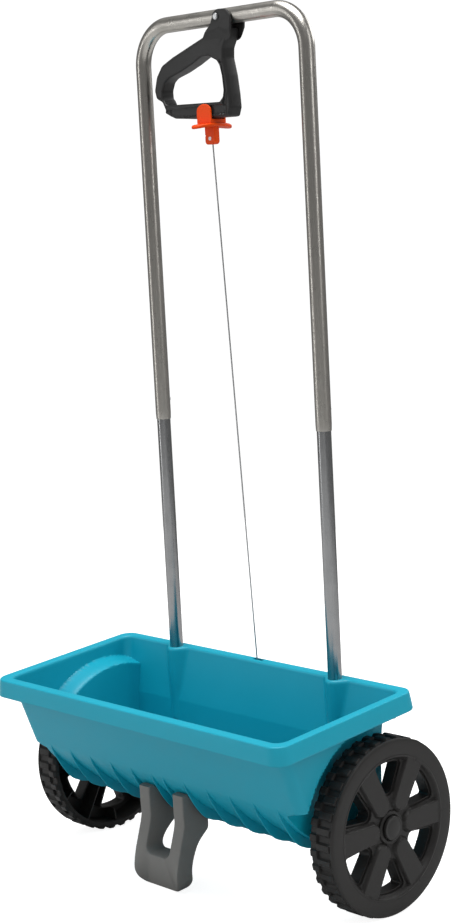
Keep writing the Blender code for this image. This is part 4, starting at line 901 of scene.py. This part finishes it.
def build_foot():
    """A band along a U, its section a rectangle with round edges from the front profile to the back."""
    front = [(-0.0770, 0.0550), (-0.0785, 0.0325), (-0.0795, 0.0155), (-0.0885, -0.0085), (-0.0955, -0.0265)]
    front += [(-0.1000, -0.0445), (-0.0990, -0.0575), (-0.0935, -0.0660), (-0.0865, -0.0703)]
    back = [(-0.0395, 0.0555), (-0.0375, 0.0300), (-0.0375, 0.0090), (-0.0395, 0.0015), (-0.0470, -0.0035)]
    back += [(-0.0580, -0.0123), (-0.0665, -0.0251), (-0.0720, -0.0383), (-0.0735, -0.0480), (-0.0725, -0.0585)]
    back += [(-0.0745, -0.0670), (-0.0785, -0.0703)]
    front, back = smooth_line(front, 200)[::-1], smooth_line(back, 200)[::-1]
    turn = np.linspace(pi, pi * 1.5, 16)

    def u_line(half, bottom, radius, top):
        cx, cz = -half + radius, bottom + radius
        left = np.array([(-half, top)] + [(cx + radius * cos(t), cz + radius * sin(t)) for t in turn])
        return np.concatenate([left, (left * (-1, 1))[::-1]])

    inner = u_line(0.0217, -0.0255, 0.0100, 0.0555)
    outer = u_line(0.0407, -0.0702, 0.0220, 0.0555)
    lines = []
    for line in (inner, outer):
        parts = []
        for a, b, n in ((0, 1, 40), (1, 16, 22), (16, 17, 14), (17, 32, 22), (32, 33, 40)):
            parts.append(even_line(line[a : b + 1], n + 1)[:-1])
        lines.append(np.concatenate(parts + [line[-1:]]))
    inner, outer = lines
    width = np.linalg.norm(outer - inner, axis=1)
    soft = 0.0022
    corner = np.linspace(0, pi / 2, 6)
    ring = []
    for cx, cy, t0 in ((1, 0, -pi / 2), (1, 1, 0), (0, 1, pi / 2), (0, 0, pi)):
        for t in corner:
            ring.append((cx, cy, cos(t0 + t), sin(t0 + t)))
    grid = []
    for cx, cy, ox, oy in ring:
        a = cx + (1 - 2 * cx + ox) * soft / width
        flat = inner + (outer - inner) * a[:, None]
        f = np.interp(flat[:, 1], front[:, 1], front[:, 0])
        b = np.interp(flat[:, 1], back[:, 1], back[:, 0])
        wall = front_wall(HOPPER_DROP - flat[:, 1]) - 0.0006
        b = np.where(flat[:, 1] > 0.0140, np.minimum(b, wall), b)
        b = np.maximum(b, f + 2.2 * soft)
        y = (b if cy else f) + (1 - 2 * cy + oy) * soft
        grid.append(np.stack([flat[:, 0], y, flat[:, 1] - HOPPER_DROP], -1))
    grid = np.stack(grid)
    ground = -AXLE_DROP - (WHEEL_R + (grid[..., 1] - AXLE_BACK) * sin(LEAN)) / cos(LEAN)
    grid[..., 2] = np.maximum(grid[..., 2], ground + 0.00005)
    shell = Shell()
    shell.grid(grid, round_u=True)
    for at in (0, -1):
        ends = grid[:, at]
        centre = ends.mean(0)
        shell.grid(np.stack([ends, centre + (ends - centre) * 0.01]), round_v=True)
    shell.piece("stand_foot_moulding", "chassis", "grey_plastic", FOOT_GREY, ["stand_foot"], merge=1e-6, sharp=50)


build_foot()

# ---------------------------------------------------------------- lever and dose slider


def from_lever(points):
    return from_handle(np.asarray(points, float) + (0.0075, 0, BAR_UP))


def from_dose(points):
    return from_lever(np.asarray(points, float) + (-0.0315, 0, 0))


def ray_line(points, centre, count, far=True):
    """Where rays from a centre cross a closed outline, one point per even step of angle."""
    p = np.asarray(points, float) - centre
    q = np.roll(p, -1, 0) - p
    turn = np.arange(count) * 2 * pi / count
    d = np.stack([np.cos(turn), np.sin(turn)], -1)[:, None]
    cross = d[..., 0] * q[:, 1] - d[..., 1] * q[:, 0]
    cross = np.where(np.abs(cross) < 1e-12, 1e-12, cross)
    run = (p[:, 0] * q[:, 1] - p[:, 1] * q[:, 0]) / cross
    at = (p[:, 0] * d[..., 1] - p[:, 1] * d[..., 0]) / cross
    good = (run > 0) & (at >= -1e-9) & (at <= 1 + 1e-9)
    run = np.where(good, run, -1.0 if far else 9.0)
    length = run.max(1) if far else run.min(1)
    return centre + d[:, 0] * length[:, None]


def slab(shell, outline, low, high, soft, centre, lay, count=160):
    """A plate between two heights with quarter-round edges; lay puts (a, b, height) into space."""
    line = ray_line(outline, np.array(centre), count)
    line = eased(line, 2)
    out = normals_of(line)
    turn = np.linspace(0, pi / 2, 6)
    rows = [(0.02, 0, low), (0.5, 0, low)]
    rows += [(None, soft * (1 - sin(t)), low + soft * (1 - cos(t))) for t in turn]
    rows += [(None, soft * (1 - cos(t)), high - soft * (1 - sin(t))) for t in turn]
    rows += [(0.5, 0, high), (0.02, 0, high)]
    grid = []
    for share, inset, height in rows:
        shrunk = line - out * (inset if share is None else soft)
        flat = shrunk if share is None else np.array(centre) + (shrunk - centre) * share
        grid.append(lay(flat[:, 0], flat[:, 1], np.full(count, height)))
    shell.grid(np.stack(grid), round_v=True)


def upright(a, b, height):
    return np.stack([a, height, b], -1)


def lying(a, b, height):
    return np.stack([a, b, height], -1)


def drooping(a, b, height):
    """A lying plate whose far ends bend down with the square of their distance."""
    return np.stack([a, b, height - 0.0030 * (b / 0.032) ** 2 + 0.0006], -1)


HEAD = [(-0.0108, -0.0061), (-0.0066, 0.0039), (-0.0057, 0.0050), (0.0006, 0.0084), (0.0092, 0.0084)]
HEAD += [(0.0176, 0.0068), (0.0226, 0.0009), (0.0243, -0.0050), (0.0240, -0.0110), (0.0228, -0.0165)]
HEAD += [(0.0140, -0.0296), (-0.0280, -0.0280), (-0.0259, -0.0207), (-0.0156, -0.0114)]
LOOP = [(-0.0156, -0.0114), (-0.0259, -0.0209), (-0.0598, -0.0322), (-0.0894, -0.0422), (-0.1096, -0.0508)]
LOOP += [(-0.1206, -0.0641), (-0.1260, -0.0816), (-0.1231, -0.0922), (-0.1126, -0.0970), (-0.1058, -0.1097)]
LOOP += [(-0.1098, -0.1103), (-0.0918, -0.1190), (-0.0500, -0.1222), (0.0080, -0.1230), (0.0118, -0.1225)]
LOOP += [(0.0160, -0.1120), (0.0150, -0.0950), (0.0120, -0.0720), (0.0072, -0.0510), (0.0080, -0.0383)]
LOOP += [(0.0147, -0.0285), (0.0160, -0.0150)]
HOLE = [(-0.0220, -0.0460), (-0.0346, -0.0463), (-0.0538, -0.0545), (-0.0759, -0.0623), (-0.0972, -0.0678)]
HOLE += [(-0.1049, -0.0726), (-0.1099, -0.0832), (-0.1094, -0.0929), (-0.1037, -0.1015), (-0.0058, -0.1036)]
HOLE += [(0.0007, -0.0980), (0.0025, -0.0900), (0.0009, -0.0725), (-0.0024, -0.0594), (-0.0070, -0.0530)]


def build_lever():
    """The grip: a ring between the hole's and the loop's outlines with round edges. Its face dips
    into a channel down the right arm and along the bottom bar, with a raised line beside it."""
    count = 420
    centre = np.array([-0.036, -0.082])
    hole, outer = ray_line(HOLE, centre, count), ray_line(LOOP, centre, count)
    for _ in range(3):
        hole, outer = eased(hole, 2), eased(outer, 4)
    half, soft = 0.0105, 0.0024
    turn = np.linspace(0, pi / 2, 6)
    hole_out, outer_out = -normals_of(hole), normals_of(outer)
    rows = []
    for t in turn:
        rows.append((hole - hole_out * soft * (1 - cos(t)), soft * (1 - sin(t))))
    inner_edge, outer_edge = hole - hole_out * soft, outer - outer_out * 2 * soft
    for s in np.linspace(0, 1, 30)[1:-1]:
        rows.append((inner_edge * (1 - s) + outer_edge * s, 0.0))
    for t in turn:
        rows.append((outer - outer_out * 2 * soft * (1 - sin(t)), 1.6 * soft * (1 - cos(t))))
    flat = np.stack([line for line, _ in rows])
    drop = np.stack([np.full(count, d) for _, d in rows])
    a, b = flat[..., 0], flat[..., 1]
    arm_b = [-0.104, -0.098, -0.090, -0.0725, -0.0594, -0.053]
    arm_in = np.interp(b, arm_b, [-0.001, 0.0007, 0.0025, 0.0009, -0.0024, -0.0060])
    across = a - arm_in
    on_arm = between(-0.1100, -0.1060, -0.0560, -0.0520, b)
    arm = between(0.0012, 0.0022, 0.0056, 0.0066, across) * on_arm
    line_up = np.exp(-(((across - 0.0078) / 0.0009) ** 2)) * on_arm
    bar = between(-0.1195, -0.1185, -0.1075, -0.1065, b) * between(-0.098, -0.094, 0.006, 0.008, a)
    teeth = between(-0.1200, -0.1194, -0.1172, -0.1166, b) * between(-0.075, -0.074, 0.002, 0.003, a)
    teeth = teeth * (np.sin(a / 0.0052 * 2 * pi) > 0.2)
    dent = 0.0022 * arm + 0.0013 * bar - 0.0004 * line_up + 0.0008 * teeth
    front = np.stack([a, -(half - drop - dent), b], -1)
    rear = np.stack([a, half - drop - dent, b], -1)
    shell = Shell(from_lever)
    shell.grid(np.concatenate([front, rear[::-1]]), round_u=True, round_v=True)
    # two ear plates that fade into the grip below
    ear = even_line(smooth_line(HEAD, 300, True), 300, True)
    for side in (-1, 1):
        low, high = sorted((side * 0.0100, side * 0.0133))

        def faded(a, b, height, side=side):
            fade = step(-0.0275, -0.0150, b)
            return np.stack([a, side * (0.0100 + (np.abs(height) - 0.0100) * fade), b], -1)

        slab(shell, ear, low, high, 0.0011, (0.004, -0.013), faded)
    name, node = "control_lever_moulding", "control_lever"
    shell.piece(name, "lever", "lever_plastic", LEVER_BLACK, [node], merge=1e-6, sharp=38)


def build_slider():
    """The slider: a plate each side of the grip with three ribs, an oval foot, a saddle and a tab."""
    shell = Shell(from_dose)
    turn = np.linspace(0, pi, 25)
    top = [(0.0130 * cos(t), -0.1135 + 0.0090 * sin(t)) for t in turn]
    plate = even_line(np.array([(0.0130, -0.1290)] + top + [(-0.0130, -0.1290)]), 300, True)
    for side in (-1, 1):
        low, high = sorted((side * 0.0109, side * 0.0131))
        slab(shell, plate, low, high, 0.0008, (0, -0.1180), upright)
        for x in (-0.0045, 0.0, 0.0045):
            rib = [(x + 0.0008 * cos(t), -0.1085 + 0.0028 * sin(t)) for t in np.arange(24) * pi / 12]
            low, high = sorted((side * 0.0125, side * 0.01318))
            slab(shell, rib, low, high, 0.0003, (x, -0.1085), upright, 24)
    turn = np.linspace(0, 2 * pi, 200, endpoint=False)
    oval = np.stack([0.0155 * np.cos(turn), 0.0320 * np.sin(turn)], -1)
    slab(shell, oval, -0.1335, -0.1290, 0.0018, (0, 0), drooping)
    saddle = np.array([(-0.0128, -0.0130), (0.0128, -0.0130), (0.0128, 0.0130), (-0.0128, 0.0130)])
    slab(shell, saddle, -0.1298, -0.1239, 0.0006, (0, 0), lying)
    tab = [(-0.0092, -0.1300), (-0.0092, -0.1425), (-0.0082, -0.1437), (-0.0092, -0.1449)]
    curve = [(0.0092 - 0.0045 * (1 - cos(t)), -0.1505 - 0.0045 * sin(t)) for t in np.linspace(0, pi / 2, 7)]
    tab += [(-x, z) for x, z in curve] + curve[::-1]
    tab += [(0.0092, -0.1300)]
    slab(shell, tab, -0.0044, 0.0044, 0.0012, (0, -0.1420), upright, 200)
    name, node = "dose_slider_moulding", "dose_slider"
    shell.piece(name, "dose", "orange_plastic", SLIDER_ORANGE, [node], merge=1e-6, sharp=38)


build_lever()
build_slider()

# ---------------------------------------------------------------- camera, light and floor


def area_light(name, place, aim, size, power):
    """A square soft box at a place, facing a point."""
    data = bpy.data.lights.new(name, "AREA")
    data.shape = "RECTANGLE"
    data.size, data.size_y = size
    data.energy = power
    lamp = in_scene(name, data)
    way = Matrix.Translation(place).to_translation() - Matrix.Translation(aim).to_translation()
    lamp.matrix_world = Matrix.Translation(place) @ way.to_track_quat("Z", "Y").to_matrix().to_4x4()


camera_data = bpy.data.cameras.new("camera")
camera_data.lens = 72.20
camera_data.sensor_width = 36.0
camera_data.sensor_fit = "AUTO"
camera_data.clip_end = 50
camera = in_scene("camera", camera_data)
right = (0.692708, 0.721217, -0.001375)
up = (-0.067449, 0.066680, 0.995492)
back = (0.718058, -0.689492, 0.094835)
place = (1.696907, -1.602491, 0.756428)
camera.matrix_world = Matrix([[right[i], up[i], back[i], place[i]] for i in range(3)] + [[0, 0, 0, 1]])
bpy.context.scene.camera = camera

area_light("key_light", (0.1, -0.5, 3.2), (0, 0, 0.4), (2.2, 1.6), 95)
area_light("side_light", (2.6, 0.3, 1.7), (0, 0, 0.4), (0.5, 2.2), 9)
area_light("back_light", (0.4, 2.6, 2.2), (0, 0, 0.5), (2.4, 1.2), 24)
area_light("left_card", (-1.7, -1.9, 0.9), (0, 0, 0.5), (0.35, 2.0), 7)

world = bpy.data.worlds.new("studio")
bpy.context.scene.world = world
world.use_nodes = True
sky = world.node_tree
glow = sky.nodes["Background"]
glow.inputs["Color"].default_value = (1, 1, 1, 1)
seen = sky.nodes.new("ShaderNodeLightPath")
strength = sky.nodes.new("ShaderNodeMapRange")
strength.inputs["To Min"].default_value = 0.55
strength.inputs["To Max"].default_value = 1.05
sky.links.new(seen.outputs["Is Camera Ray"], strength.inputs["Value"])
mirrored = sky.nodes.new("ShaderNodeMath")
mirrored.operation = "MULTIPLY"
mirrored.inputs[1].default_value = -0.36
sky.links.new(seen.outputs["Is Glossy Ray"], mirrored.inputs[0])
whole = sky.nodes.new("ShaderNodeMath")
sky.links.new(strength.outputs["Result"], whole.inputs[0])
sky.links.new(mirrored.outputs["Value"], whole.inputs[1])
sky.links.new(whole.outputs["Value"], glow.inputs["Strength"])

floor_mesh = bpy.data.meshes.new("floor")
half = 2.6
corners = [(-half, -half, 0), (half, -half, 0), (half, half, 0), (-half, half, 0)]
floor_mesh.from_pydata(corners, [], [(0, 1, 2, 3)])
floor = in_scene("floor", floor_mesh)
floor_look = bpy.data.materials.new("pale_floor")
floor_look.use_nodes = True
floor_shader = floor_look.node_tree.nodes["Principled BSDF"]
floor_shader.inputs["Base Color"].default_value = (0.52, 0.52, 0.52, 1)
floor_shader.inputs["Roughness"].default_value = 0.9
floor_shader.inputs["Emission Color"].default_value = (1, 1, 1, 1)
floor_seen = floor_look.node_tree.nodes.new("ShaderNodeLightPath")
floor_glow = floor_look.node_tree.nodes.new("ShaderNodeMath")
floor_glow.operation = "MULTIPLY"
floor_glow.inputs[1].default_value = 0.88
floor_look.node_tree.links.new(floor_seen.outputs["Is Camera Ray"], floor_glow.inputs[0])
floor_look.node_tree.links.new(floor_glow.outputs["Value"], floor_shader.inputs["Emission Strength"])
floor_mesh.materials.append(floor_look)
bpy.context.scene.view_settings.view_transform = "Standard"
